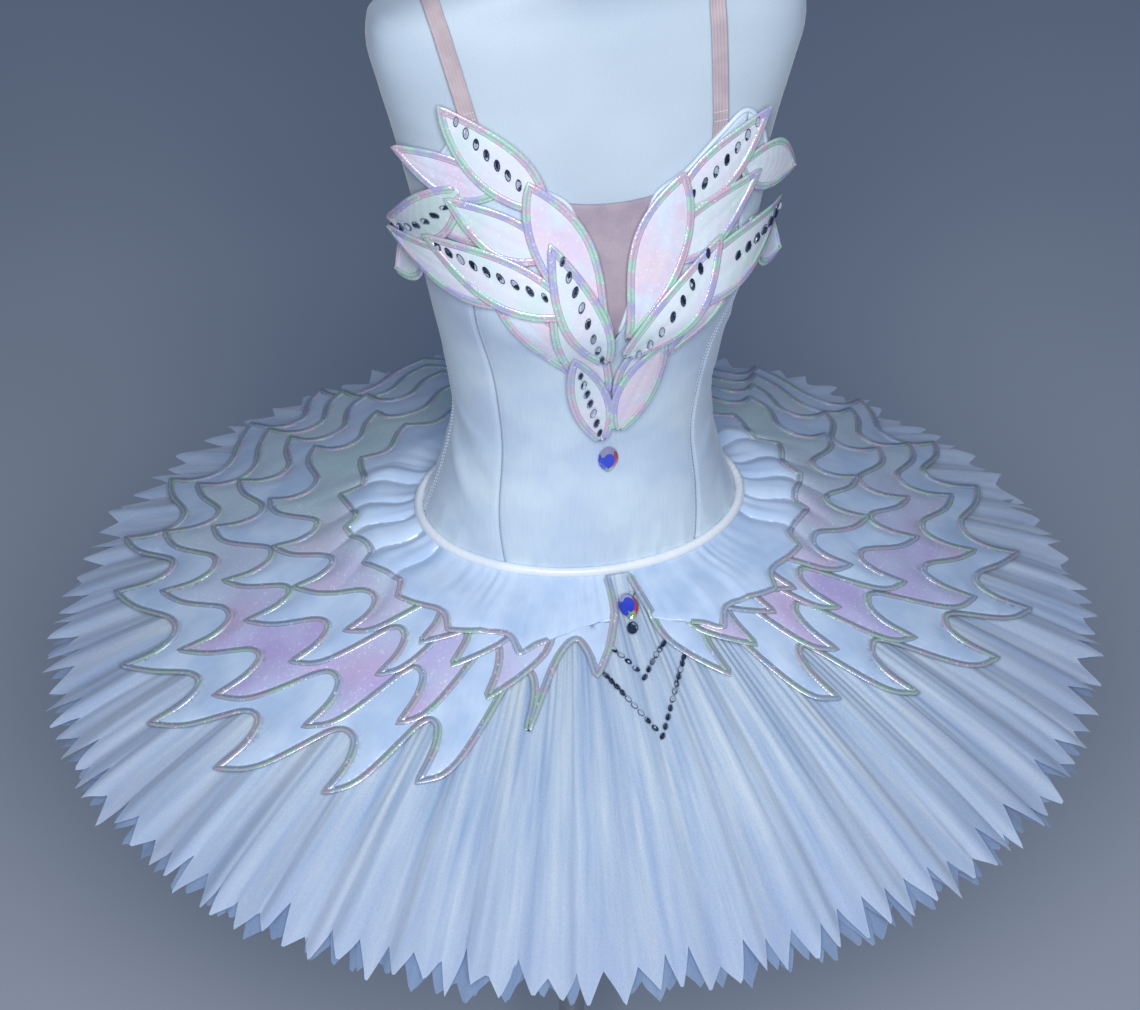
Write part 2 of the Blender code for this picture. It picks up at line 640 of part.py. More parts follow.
# ---------------------------------------------------------------- plate on the skirt
def lobed_edge(tier, letter):
    """Outer edge of a tier, front to back: swept lobes with sharp tips and round bays."""
    pitch = (PLATE_BACK_ANGLE - 5.0 - tier.first_tip) / (tier.lobes - 1)
    tips = []
    for lobe in range(tier.lobes):
        angle = tier.first_tip + pitch * lobe + 1.2 * math.sin(2.3 * lobe + tier.level)
        trim = PLATE_TRIM[letter] * max(0.0, 1.0 - angle / PLATE_TRIM_FROM)
        reach = smooth_at(tier.reach, angle) * (1.0 - trim)
        tips.append((angle, reach + 0.012 * math.sin(1.9 * lobe + 2 * tier.level)))
    edge = []
    for (angle, share), (next_angle, next_share) in zip(tips, tips[1:]):
        step = next_angle - angle
        edge += [(angle, share),
                 (angle - 0.03 * step, share - 0.62 * tier.lobe_depth),
                 (angle + 0.08 * step, share - tier.lobe_depth),
                 (angle + 0.34 * step, share - 0.92 * tier.lobe_depth),
                 (angle + 0.70 * step, next_share - 0.42 * tier.lobe_depth)]
    edge.append(tips[-1])
    return [(angle, max(share, tier.inner + PLATE_LEAST_WIDTH)) for angle, share in edge]


def tier_outline(tier, letter):
    """Whole outline of a tier: front edge, lobed edge, back edge and inner edge."""
    start = PLATE_FRONT_ANGLE + TIER_FRONT_INSET * tier.level
    edge = lobed_edge(tier, letter)
    first_share = edge[0][1]
    front = [(start, tier.inner), (start + 1.5, tier.inner + 0.4 * (first_share - tier.inner))]
    back_share = edge[-1][1] - 1.2 * tier.lobe_depth
    back = [(PLATE_BACK_ANGLE, back_share), (PLATE_BACK_ANGLE, 0.5 * (back_share + tier.inner))]
    inner_steps = round((PLATE_BACK_ANGLE - start) / math.degrees(PLATE_GRID_ANGLE))
    inner = [(PLATE_BACK_ANGLE + (start - PLATE_BACK_ANGLE) * step / inner_steps, tier.inner)
             for step in range(inner_steps)]
    return front + edge + back + inner


def flat_skirt(angle, share):
    """Plan of a point on the skirt, used to lay a plate out flat."""
    point = skirt_point(math.radians(angle), share)
    return (point.x, point.y)


def inside_by(outline_flat, point, margin):
    """True where a flat point lies inside an outline and at least `margin` from it."""
    crossings = 0
    for first, second in zip(outline_flat, outline_flat[1:] + outline_flat[:1]):
        if (first.y > point.y) != (second.y > point.y):
            reach = first.x + (point.y - first.y) / (second.y - first.y) * (second.x - first.x)
            crossings += reach > point.x
        closest, share = geometry.intersect_point_line(point, first, second)
        closest = first if share < 0 else second if share > 1 else closest
        if (closest.to_2d() - point).length < margin:
            return False
    return crossings % 2 == 1


def build_tier(tier, letter, side):
    """One tier of the plate on one side of the body."""
    outline = tier_outline(tier, letter)
    outline_flat = [Vector(flat_skirt(*pair)) for pair in outline]
    grid = []
    angle = PLATE_FRONT_ANGLE
    while angle < PLATE_BACK_ANGLE:
        share = tier.inner + 0.5 * PLATE_GRID_RUN
        while share < 1.0:
            if inside_by(outline_flat, Vector(flat_skirt(angle, share)), PLATE_EDGE_MARGIN):
                grid.append((angle, share))
            share += PLATE_GRID_RUN
        angle += math.degrees(PLATE_GRID_ANGLE)
    lift = PLATE_FIRST_LIFT + PLATE_LIFT_STEP * tier.level
    finish = SHIMMER if tier.level % 2 else SATIN
    wall_from_outline(f"{tier.name}_{letter}", outline, grid, flat_skirt,
                      lambda angle, share: skirt_point(math.radians(side * angle), share, lift + PLATE_WALL),
                      lambda angle, share: skirt_point(math.radians(side * angle), share, lift),
                      finish)


def build_yoke(letter, side):
    """Satin gathered into the hip seam, with its largest folds over the hip."""
    fold_columns = 2 * YOKE_FOLDS
    fold_step = (YOKE_FOLD_LAST - YOKE_FOLD_FIRST) / fold_columns
    angles = [PLATE_FRONT_ANGLE + (YOKE_FOLD_FIRST - PLATE_FRONT_ANGLE) * step / YOKE_PLAIN_COLUMNS
              for step in range(YOKE_PLAIN_COLUMNS)]
    angles += [YOKE_FOLD_FIRST + fold_step * step for step in range(fold_columns + 1)]
    angles += [YOKE_FOLD_LAST + (PLATE_BACK_ANGLE - YOKE_FOLD_LAST) * (step + 1) / YOKE_PLAIN_COLUMNS
               for step in range(YOKE_PLAIN_COLUMNS)]
    outer, inner = [], []
    for row in range(YOKE_ROWS + 1):
        along = row / YOKE_ROWS
        outer_row, inner_row = [], []
        for column, angle in enumerate(angles):
            fold = column - YOKE_PLAIN_COLUMNS
            crest = 0 < fold < fold_columns and fold % 2 == 1
            rise = YOKE_FOLD_RISE * (1.0 - 0.55 * along) * crest
            share = YOKE_INNER + (YOKE_OUTER - YOKE_INNER) * along
            lift = PLATE_FIRST_LIFT + PLATE_LIFT_STEP + rise
            turned = math.radians(side * angle)
            outer_row.append(skirt_point(turned, share, lift + PLATE_WALL))
            inner_row.append(skirt_point(turned, share, lift))
        outer.append(outer_row)
        inner.append(inner_row)
    wall_from_grid(f"plate_yoke_{letter}", outer, inner, SATIN, sharp=60.0)


# ---------------------------------------------------------------- feather appliques
def leaf_half_width(leaf, share):
    """Half width of a leaf along its middle line: full near the middle, sharp at the tip."""
    return 0.5 * leaf.width * math.sin(math.pi * share ** 0.9) ** 0.85


def build_leaf(leaf):
    """One feather, a pointed leaf that lies on the bust over its neighbours' bases."""
    base = Vector((math.radians(leaf.base[0]) * FLAT_RADIUS, leaf.base[1]))
    tip = Vector((math.radians(leaf.tip[0]) * FLAT_RADIUS, leaf.tip[1]))
    along = tip - base
    sideways = Vector((-along.y, along.x)).normalized()

    def flat_at(share, across):
        bow = leaf.bend * 4.0 * share * (1.0 - share)
        return base + along * share + sideways * (bow + across)

    shares = [station / LEAF_STATIONS for station in range(1, LEAF_STATIONS)]
    outline = [(0.0, 0.0)] + [(share, -leaf_half_width(leaf, share)) for share in shares] + [(1.0, 0.0)]
    outline += [(share, leaf_half_width(leaf, share)) for share in reversed(shares)]
    spine = [(share, 0.0) for share in shares]

    def place(share, across, out):
        spot = flat_at(share, across)
        level = leaf.levels[0] + (leaf.levels[1] - leaf.levels[0]) * share
        crown = LEAF_CROWN * (across == 0.0) * math.sin(math.pi * share)
        lift = LEAF_FIRST_LIFT + LEAF_LIFT_STEP * level + crown + leaf.flare * share ** 3
        return body_point(spot.x / FLAT_RADIUS, spot.y, lift + out)

    wall_from_outline(leaf.name, outline, spine, lambda share, across: tuple(flat_at(share, across)),
                      lambda share, across: place(share, across, LEAF_WALL),
                      lambda share, across: place(share, across, 0.0), SATIN)


# ---------------------------------------------------------------- jewels
def build_jewel(name, centre, right, up, out):
    """Pear-cut crystal, point down, with a flat table and a bevelled girdle."""
    girdle, table, back = [], [], []
    for side in range(JEWEL_SIDES):
        turn = 2 * math.pi * side / JEWEL_SIDES
        narrow = 1.0 - 0.5 * max(0.0, math.cos(turn)) ** 2
        across = 0.5 * JEWEL_WIDTH * math.sin(turn) * narrow
        height = -0.5 * JEWEL_LENGTH * math.cos(turn)
        spot = centre + right * across + up * height
        girdle.append(spot + out * 0.5 * JEWEL_DEPTH)
        table.append(centre + (spot - centre) * 0.6 + out * JEWEL_DEPTH)
        back.append(centre + (spot - centre) * 0.8)
    points = back + girdle + table
    faces = [[row * JEWEL_SIDES + side, row * JEWEL_SIDES + (side + 1) % JEWEL_SIDES,
              (row + 1) * JEWEL_SIDES + (side + 1) % JEWEL_SIDES, (row + 1) * JEWEL_SIDES + side]
             for row in range(2) for side in range(JEWEL_SIDES)]
    faces.append(list(range(JEWEL_SIDES)))
    faces.append([2 * JEWEL_SIDES + side for side in range(JEWEL_SIDES)])
    add_object(name, points, faces, CRYSTAL, 10.0)


def surface_axes(point_at, first, second):
    """Right, up and outward unit vectors of a surface given by two parameters."""
    small = 0.004
    here = point_at(first, second)
    right = (point_at(first + small, second) - here).normalized()
    up = (point_at(first, second + small) - here).normalized()
    return here, right, up


def build_jewels():
    """The pear crystals at the waist and on the front of the skirt."""
    angle, height, lift = WAIST_JEWEL
    here, right, up = surface_axes(body_point, math.radians(angle), height)
    out = right.cross(up).normalized()
    build_jewel("jewel_waist", here + out * lift, right, out.cross(right), out)
    angle, share, lift = SKIRT_JEWEL
    here, right, down = surface_axes(skirt_point, math.radians(angle), share)
    out = down.cross(right).normalized()
    build_jewel("jewel_skirt", here + out * lift, right, out.cross(right), out)


def main():
    """Clear the scene and build every piece."""
    for item in list(bpy.data.objects):
        bpy.data.objects.remove(item, do_unlink=True)
    build_form()
    build_bodice()
    build_neck_insert()
    build_straps()
    build_piping()
    build_brief()
    for net in NETS:
        build_net(net)
    for letter, side in SIDES:
        for tier in TIERS:
            build_tier(tier, letter, side)
        build_yoke(letter, side)
    for leaf in LEAVES:
        build_leaf(leaf)
    build_jewels()


main()
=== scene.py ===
"""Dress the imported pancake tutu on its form: pointed nets, satin, lobed plate, feathers and stones.

Frame: metres, +Z up, the wearer faces -Y and the wearer's left is +X.  The origin is the
centre of the stand's underside.  Angles run round the body from the centre front, positive
towards the wearer's left.  Heights on the body are measured from the high-hip seam.
"""
import logging
from bisect import bisect_right
from dataclasses import dataclass
from enum import Enum
from functools import lru_cache, partial
from math import atan2, cos, exp, floor, inf, pi, radians, remainder, sin, tau
from typing import Any, Callable, Iterable, Sequence
import bmesh
import bpy
from mathutils import Matrix, Vector
from mathutils.kdtree import KDTree


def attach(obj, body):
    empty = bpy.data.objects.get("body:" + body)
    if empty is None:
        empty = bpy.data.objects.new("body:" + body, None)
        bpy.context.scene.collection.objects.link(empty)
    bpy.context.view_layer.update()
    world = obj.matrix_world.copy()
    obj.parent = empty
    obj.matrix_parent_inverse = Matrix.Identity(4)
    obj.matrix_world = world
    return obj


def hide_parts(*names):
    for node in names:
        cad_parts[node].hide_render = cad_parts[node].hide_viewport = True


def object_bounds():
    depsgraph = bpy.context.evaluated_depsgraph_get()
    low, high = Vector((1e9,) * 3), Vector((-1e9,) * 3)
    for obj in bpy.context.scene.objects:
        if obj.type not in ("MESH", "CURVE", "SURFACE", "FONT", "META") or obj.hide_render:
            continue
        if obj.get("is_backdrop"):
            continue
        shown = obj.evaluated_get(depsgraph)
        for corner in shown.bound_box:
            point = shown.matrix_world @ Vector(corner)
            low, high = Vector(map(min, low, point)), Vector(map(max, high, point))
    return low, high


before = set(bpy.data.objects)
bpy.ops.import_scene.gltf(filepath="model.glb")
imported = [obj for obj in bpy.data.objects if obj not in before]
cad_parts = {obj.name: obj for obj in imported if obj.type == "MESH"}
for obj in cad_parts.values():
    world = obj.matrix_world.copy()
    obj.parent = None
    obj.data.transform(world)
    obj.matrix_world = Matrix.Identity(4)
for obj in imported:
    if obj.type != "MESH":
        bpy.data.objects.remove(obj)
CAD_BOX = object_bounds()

LOG = logging.getLogger("tutu")
Place = Callable[[float, float], Vector]
Row = tuple[float, float]
Socket = bpy.types.NodeSocket
Sockets = dict[str | int, Any]  # input name or number to a value, a hex colour or a socket
Adder = Callable[..., Any]  # add_node with its tree already given
Colour = Any  # a socket or an sRGB hex colour

BODY = "root"
MM = 0.001
WELD = 1.0e-6  # points closer than this are one point
NUDGE = 0.002  # small step that finds the directions of a surface
GROOVE_WIDTH = 0.3  # of a doubled cord, as a share of its half width
SIDES = (("L", 1), ("R", -1))
# numbers of the colour sockets on a Mix node, which has one set for each type of data
FACTOR, FIRST, SECOND, MIXED = 0, 6, 7, 2


# ---- finishes
def hex_to_linear(code: str) -> tuple[float, float, float, float]:
    """Turn an sRGB hex colour into linear red, green, blue and alpha.

    Args:
        code: Colour written as "#RRGGBB".
    Returns:
        Linear colour with an alpha of 1.
    """
    channels = [int(code[place:place + 2], 16) / 255.0 for place in (1, 3, 5)]
    linear = [value / 12.92 if value <= 0.04045 else ((value + 0.055) / 1.055) ** 2.4 for value in channels]
    return (*linear, 1.0)


def fill_inputs(tree: bpy.types.NodeTree, node: bpy.types.Node, inputs: Sockets) -> None:
    """Set or link the inputs of a node; an sRGB hex colour becomes a linear one.

    Args:
        tree: Tree that holds the node.
        node: The node.
        inputs: What its inputs get.
    """
    for name, value in inputs.items():
        if isinstance(value, Socket):
            tree.links.new(value, node.inputs[name])
        else:
            node.inputs[name].default_value = hex_to_linear(value) if isinstance(value, str) else value


def add_node(tree: bpy.types.NodeTree, kind: str, inputs: Sockets | None = None,
             **settings: Any) -> bpy.types.bpy_prop_collection:
    """Add one shader node to a tree.

    Args:
        tree: Tree that gets the node.
        kind: Blender's name of the node type, without its "ShaderNode".
        inputs: What its inputs get.
        settings: Properties of the node itself.
    Returns:
        The node's outputs.
    """
    node = tree.nodes.new("ShaderNode" + kind)
    for name, value in settings.items():
        setattr(node, name, value)
    fill_inputs(tree, node, inputs or {})
    return node.outputs


def per_mm(size: float) -> float:
    """Noise or cell scale that gives features of `size` millimetres on a map in metres."""
    return 1.0 / (size * MM)


def bands_mm(size: float) -> float:
    """Wave texture scale that gives a band every `size` millimetres on a map in metres."""
    return tau / (20.0 * size * MM)


class Weave(Enum):
    """How a cloth is made, which sets its grain."""
    SATIN = "satin"
    KNIT = "knit"
    RIB = "rib"
    MESH = "mesh"


@dataclass(frozen=True)
class Finish:
    """What a surface is made of, with the parts that all finishes share."""
    name: str
    slot: str
    colour: str
    roughness: float

    def material(self) -> bpy.types.Material:
        """Give the finish's material, made on its first use.

        Returns:
            The material.
        """
        made = bpy.data.materials.get(self.name)
        if made is None:
            made = bpy.data.materials.new(self.name)
            made.use_nodes = True
            tree = made.node_tree
            shader = tree.nodes["Principled BSDF"]
            fill_inputs(tree, shader, {"Base Color": self.colour, "Roughness": self.roughness})
            fill_inputs(tree, shader, self.dress(partial(add_node, tree)))
        return made

    def dress(self, add: Adder) -> Sockets:
        """Add the finish's own nodes.

        Args:
            add: Adds a node.
        Returns:
            What the shader's inputs get.
        """
        raise NotImplementedError

    @staticmethod
    def coats(add: Adder, colour: Colour, *layers: tuple[Any, Colour], kind: str = "MIX") -> Colour:
        """Lay colours over one another.

        Args:
            add: Adds a node.
            colour: The lowest colour.
            layers: Share and colour of each coat over it.
            kind: How a coat blends with what lies under it.
        Returns:
            The whole.
        """
        for share, over in layers:
            colour = add("Mix", {FACTOR: share, FIRST: colour, SECOND: over}, data_type="RGBA", blend_type=kind)[MIXED]
        return colour

    @staticmethod
    def patches(add: Adder, size: float, low: float = 0.38, high: float = 0.62,
                detail: float = 2.0) -> Socket:
        """Soft uneven patches from 0 to 1 in the object's space.

        Args:
            add: Adds a node.
            size: Size of the patches in millimetres.
            low: Noise value that becomes 0.
            high: Noise value that becomes 1.
            detail: Octaves of the noise.
        Returns:
            The socket that carries them.
        """
        noise = add("TexNoise", {"Vector": add("TexCoord")["Object"], "Scale": per_mm(size), "Detail": detail})
        return add("MapRange", {"Value": noise["Fac"], "From Min": low, "From Max": high})["Result"]


@dataclass(frozen=True)
class ClothFinish(Finish):
    """Woven or knitted cloth, with a grain on its own UV map and a slow change of tone."""
    shade: str  # tone that shows in soft patches
    weave: Weave
    grain: float  # millimetres between the threads or wales that are drawn
    relief_height: float  # millimetres
    sheen: float
    patch: float = 55.0  # millimetres

    def dress(self, add: Adder) -> Sockets:
        """Add the tone, the grain and the sheen.

        Args:
            add: Adds a node.
        Returns:
            What the shader's inputs get.
        """
        flat = add("UVMap", uv_map="UVMap")["UV"]
        if self.weave is Weave.MESH:
            cells = add("TexVoronoi", {"Vector": flat, "Scale": per_mm(self.grain)}, feature="DISTANCE_TO_EDGE")
            grain = add("MapRange", {"Value": cells["Distance"], "From Max": 0.22, "To Min": 1.0,
                                     "To Max": 0.0})["Result"]
        elif self.weave is Weave.RIB:
            grain = add("TexWave", {"Vector": flat, "Scale": bands_mm(self.grain), "Distortion": 0.6, "Detail": 1.0},
                        bands_direction="Y")["Fac"]
        else:
            # satin shows long floats along one thread, and a knit short even stitches
            length = 11.0 if self.weave is Weave.SATIN else 1.0
            drawn = add("Mapping", {"Vector": flat, "Scale": (per_mm(self.grain), per_mm(self.grain * length), 1.0)})
            grain = add("TexNoise", {"Vector": drawn["Vector"], "Scale": 1.0, "Detail": 1.0})["Fac"]
        tone = self.coats(add, self.colour, (self.patches(add, self.patch), self.shade))
        fine = self.coats(add, "#EDEFF3", (grain, "#FFFFFF"))
        return {"Base Color": self.coats(add, tone, (1.0, fine), kind="MULTIPLY"),
                "Sheen Weight": self.sheen, "Sheen Roughness": 0.4,
                "Normal": add("Bump", {"Height": grain, "Strength": 0.35,
                                       "Distance": self.relief_height * MM})["Normal"]}


@dataclass(frozen=True)
class NetFinish(Finish):
    """Crisp sheer net: painted light and shade in streaks along the pleats, a fine hexagonal grain and a plain alpha.
    """
    shade: str
    # the hem tone is a painted shade for the light lost where fewer layers lie behind
    hem: str  # tone of the last centimetres, where fewer layers lie behind
    alpha: float
    streak_width: float = 19.0  # millimetres along the hem
    streak_length: float = 260.0
    hole: float = 2.6  # real net has holes of about 1.5 mm, drawn coarser so that they show

    def dress(self, add: Adder) -> Sockets:
        """Add the painted streaks of light and shade, the painted hem shade, the grain and the see-through.

        Args:
            add: Adds a node.
        Returns:
            What the shader's inputs get.
        """
        flat = add("UVMap", uv_map="UVMap")["UV"]
        drawn = add("Mapping", {"Vector": flat, "Scale": (per_mm(self.streak_width), per_mm(self.streak_length), 1.0)})
        # painted light and shade: lit pleats get the net's colour and shaded overlaps get its shade tone
        streaks = add("TexNoise", {"Vector": drawn["Vector"], "Scale": 1.0, "Detail": 4.0, "Roughness": 0.62})
        painted_pleat_light = add("MapRange", {"Value": streaks["Fac"], "From Min": 0.32, "From Max": 0.68})["Result"]
        # painted shade: the last centimetres turn to the bluer, darker hem tone
        outer = add("MapRange", {"Value": add("SeparateXYZ", {"Vector": flat})["Y"], "From Min": 0.2,
                                 "From Max": 0.33, "To Max": 0.6})["Result"]
        tone = self.coats(add, self.shade, (painted_pleat_light, self.colour), (outer, self.hem))
        cells = add("TexVoronoi", {"Vector": add("TexCoord")["Object"], "Scale": per_mm(self.hole)},
                    feature="DISTANCE_TO_EDGE")
        thread = add("MapRange", {"Value": cells["Distance"], "From Max": 0.2, "To Min": 1.0, "To Max": 0.0})["Result"]
        fine = self.coats(add, "#F2F5F9", (thread, "#FFFFFF"))
        return {"Base Color": self.coats(add, tone, (1.0, fine), kind="MULTIPLY"),
                "Sheen Weight": 0.25, "Alpha": self.alpha,
                "Normal": add("Bump", {"Height": thread, "Strength": 0.08, "Distance": 0.3 * MM})["Normal"]}


@dataclass(frozen=True)
class PearlFinish(Finish):
    """Pearl film over satin: slow drifts of pastel, painted white glints and a thin clear coat."""
    second: str
    third: str
    drift: float  # millimetres
    coat: float

    def film(self, add: Adder) -> Socket:
        """Slow drift of the film's three colours."""
        return self.coats(add, self.colour, (self.patches(add, self.drift), self.second),
                          (self.patches(add, 1.7 * self.drift, 0.5, 0.64), self.third))

    def dress(self, add: Adder) -> Sockets:
        """Add the pastels, the painted glints and the coat.

        Args:
            add: Adds a node.
        Returns:
            What the shader's inputs get.
        """
        flakes = add("TexVoronoi", {"Vector": add("TexCoord")["Object"], "Scale": per_mm(1.8)})
        # painted glints: white specks in the colour where the flakes would catch the light
        painted_glints = add("MapRange", {"Value": flakes["Color"], "From Min": 0.75, "From Max": 1.0,
                                   "To Max": 0.35})["Result"]
        return {"Base Color": self.coats(add, self.film(add), (painted_glints, "#FFFFFF")),
                "Coat Weight": self.coat, "Coat Roughness": 0.18, "Sheen Weight": 0.15,
                "Normal": add("Bump", {"Height": flakes["Distance"], "Strength": 0.2, "Distance": 0.25 * MM})["Normal"]}


@dataclass(frozen=True)
class ShotFinish(PearlFinish):
    """Pearl film that turns colour from front to back, painted paler behind to lift the shade, and fades out near the
    hip seam.
    """
    # partly the film's own turn of colour and partly painted light: the back tone is paler to lift the shade behind
    back: str  # tone behind the body
    heart: str  # tone near the hip seam
    near: float = 0.16  # metres from the body's axis
    far: float = 0.225

    def film(self, add: Adder) -> Socket:
        """Slow drift of the film's colours, turned and faded by place.

        Args:
            add: Adds a node.
        Returns:
            The socket that carries the colour.
        """
        place = add("TexCoord")["Object"]
        # towards the back the tone turns, and is painted paler there to lift the shade
        behind = add("MapRange", {"Value": add("SeparateXYZ", {"Vector": place})["Y"], "From Min": -0.06,
                                  "From Max": 0.12})["Result"]
        flat = add("VectorMath", {0: place, 1: (1.0, 1.15, 0.0)}, operation="MULTIPLY")["Vector"]
        reach = add("VectorMath", {0: flat}, operation="LENGTH")["Value"]
        fade = add("MapRange", {"Value": reach, "From Min": self.near, "From Max": self.far, "To Min": 1.0,
                                "To Max": 0.0})["Result"]
        return self.coats(add, PearlFinish.film(self, add), (behind, self.back), (fade, self.heart))


@dataclass(frozen=True)
class TrimFinish(Finish):
    """Iridescent laminated cord: mint, rose and violet bands, painted shade at the edges and groove, painted glints."""
    second: str
    third: str
    # colour of the painted shade at the edges and in the groove
    edge: str
    band: float  # millimetres of one colour

    def dress(self, add: Adder) -> Sockets:
        """Add the bands, the painted shade in the groove and at the edges, and the painted glints.

        Args:
            add: Adds a node.
        Returns:
            What the shader's inputs get.
        """
        # v runs once round the cord from one edge over the crown, so that a cosine of four
        # times the turn is high at both edges and in the groove between the two ridges, where shade is painted
        across = add("SeparateXYZ", {"Vector": add("UVMap", uv_map="UVMap")["UV"]})["Y"]
        turned = add("Math", {0: across, 1: 8.0 * pi}, operation="MULTIPLY")["Value"]
        waved = add("Math", {0: turned}, operation="COSINE")["Value"]
        # painted shade: darker at both edges and in the groove
        edges = add("MapRange", {"Value": waved, "From Min": 0.0, "From Max": 0.9, "To Max": 0.85})["Result"]
        flakes = add("TexVoronoi", {"Vector": add("TexCoord")["Object"], "Scale": per_mm(1.5)})
        # painted glints: white specks in the colour
        painted_glints = add("MapRange", {"Value": flakes["Color"], "From Min": 0.8, "From Max": 1.0, "To Max": 0.7})["Result"]
        return {"Base Color": self.coats(add, self.colour, (self.patches(add, self.band, 0.45, 0.55), self.second),
                                         (self.patches(add, 1.3 * self.band, 0.52, 0.6, 1.0), self.third),
                                         (edges, self.edge), (painted_glints, "#FFFFFF")),
                "Metallic": 0.15, "Coat Weight": 0.6, "Coat Roughness": 0.12,
                "Normal": add("Bump", {"Height": flakes["Distance"], "Strength": 0.5, "Distance": 0.4 * MM})["Normal"]}


@dataclass(frozen=True)
class StoneFinish(Finish):
    """Cut glass with foil behind it: painted reflections, a colour for each facet or stone from coarse cells."""
    # for the foil-backed stones, second is a paler painted reflection and third a near-white painted highlight
    second: str
    third: str
    cell: float  # millimetres
    metallic: float

    def tint(self, add: Adder) -> Socket:
        """Colour of each stone or facet: a painted dark reflection, with painted highlights on some.

        Args:
            add: Adds a node.
        Returns:
            The socket that carries the colour.
        """
        cells = add("TexVoronoi", {"Vector": add("TexCoord")["Object"], "Scale": per_mm(self.cell)})
        split = add("SeparateColor", {"Color": cells["Color"]})
        pale = add("MapRange", {"Value": split["Red"], "From Min": 0.45, "From Max": 0.55})["Result"]
        # painted highlight: a few cells turn near white
        painted_highlight = add("MapRange", {"Value": split["Green"], "From Min": 0.66, "From Max": 0.74})["Result"]
        return self.coats(add, self.colour, (pale, self.second), (painted_highlight, self.third))

    def dress(self, add: Adder) -> Sockets:
        """Add the colours and the clear top."""
        return {"Base Color": self.tint(add), "Metallic": self.metallic, "Coat Weight": 1.0, "Coat Roughness": 0.03}


@dataclass(frozen=True)
class RainbowFinish(StoneFinish):
    """Coated crystal whose facets turn from yellow-green at the point through rose to lilac and blue."""
    # share of the way round from the point, colour from there on
    turns: tuple = ((0.0, "#B8C878"), (0.1, "#C65C70"), (0.36, "#A9A4C8"), (0.66, "#4256D6"), (0.88, "#8FB49A"))
    table: float = 0.0166  # metres of the map up to the flat top

    def tint(self, add: Adder) -> Socket:
        """Colour by the facet's place round the stone, with a blue table.

        Args:
            add: Adds a node.
        Returns:
            The socket that carries the colour.
        """
        split = add("SeparateXYZ", {"Vector": add("UVMap", uv_map="UVMap")["UV"]})
        whole = add("Math", {0: split["X"], 1: 1.0 / self.cell}, operation="MULTIPLY")["Value"]
        turned = add("ValToRGB", {"Fac": whole})["Color"]
        ramp = turned.node.color_ramp
        ramp.interpolation = "CONSTANT"
        for number, (place, code) in enumerate(self.turns):
            stop = ramp.elements[0] if number == 0 else ramp.elements.new(place)
            stop.position = place
            stop.color = hex_to_linear(code)
        ramp.elements.remove(ramp.elements[-1])
        middle = add("Math", {0: split["Y"], 1: self.table}, operation="GREATER_THAN")["Value"]
        return self.coats(add, turned, (middle, self.colour))


@dataclass(frozen=True)
class MetalFinish(Finish):
    """Satin-ground metal with a faint grain and slightly duller, handled patches."""
    dull: str
    grain: float  # millimetres

    def dress(self, add: Adder) -> Sockets:
        """Add the grain and the handled patches.

        Args:
            add: Adds a node.
        Returns:
            What the shader's inputs get.
        """
        drawn = add("Mapping", {"Vector": add("TexCoord")["Object"], "Scale": (1.0, 1.0, 0.05)})
        lines = add("TexNoise", {"Vector": drawn["Vector"], "Scale": per_mm(self.grain), "Detail": 1.0})["Fac"]
        return {"Base Color": self.coats(add, self.colour, (self.patches(add, 35.0), self.dull)), "Metallic": 1.0,
                "Roughness": add("MapRange", {"Value": lines, "To Min": self.roughness - 0.08,
                                              "To Max": self.roughness + 0.1})["Result"],
                "Normal": add("Bump", {"Height": lines, "Strength": 0.15, "Distance": 0.1 * MM})["Normal"]}


@dataclass(frozen=True)
class FloorFinish(Finish):
    """Plain pale painted floor with the faintest change of tone."""
    shade: str

    def dress(self, add: Adder) -> Sockets:
        """Add the change of tone."""
        return {"Base Color": self.coats(add, self.colour, (self.patches(add, 900.0, 0.3, 0.7, 1.0), self.shade))}


# Grains are drawn coarser than real ones, whose threads lie 0.15 to 0.5 mm apart, so that they show.
# Duchesse satin: long floats give a soft gloss that follows the form.
BODICE_SATIN = ClothFinish("duchesse_satin", "satin", "#D2E2EC", 0.34, "#C3D4E6", Weave.SATIN, 1.6, 0.05, 0.2)
# Lighter satin lying flat: a closer gloss in small patches of cool tone.
PLATE_SATIN = ClothFinish("plate_satin", "satin", "#CADCF2", 0.28, "#B7CDE9", Weave.SATIN, 1.6, 0.06, 0.15, 38.0)
# Satin cut on the bias over a cord: the whitest and smoothest line of the garment.
PIPING_SATIN = ClothFinish("bias_satin", "piping", "#F2F6F9", 0.32, "#E6EDF4", Weave.SATIN, 1.4, 0.05, 0.2)
# Cotton knit: short even stitches with hardly any gloss.
BRIEF_KNIT = ClothFinish("brief_knit", "satin", "#D6E3F0", 0.55, "#C8D7E8", Weave.KNIT, 1.4, 0.08, 0.3)
# Jersey pulled tight over the form: plain, dull and a little grey.
FORM_JERSEY = ClothFinish("form_jersey", "form_cover", "#BFCDD8", 0.62, "#B5C4D1", Weave.KNIT, 1.4, 0.04, 0.3, 120.0)
# Skin-toned power mesh: dark open cells between dull threads.
SKIN_MESH = ClothFinish("skin_mesh", "mesh", "#AC9EA8", 0.75, "#A0929F", Weave.MESH, 1.4, 0.1, 0.15, 25.0)
# Woven elastic: fine ribs across a dry, dusky surface.
STRAP_ELASTIC = ClothFinish("ribbed_elastic", "elastic", "#BFAFB3", 0.7, "#B2A1A6", Weave.RIB, 1.3, 0.12, 0.2, 20.0)
# Sewing thread: a small glint on each stitch.
THREAD = ClothFinish("sewing_thread", "satin", "#DCE8F4", 0.5, "#D0DDEC", Weave.SATIN, 0.6, 0.05, 0.1)
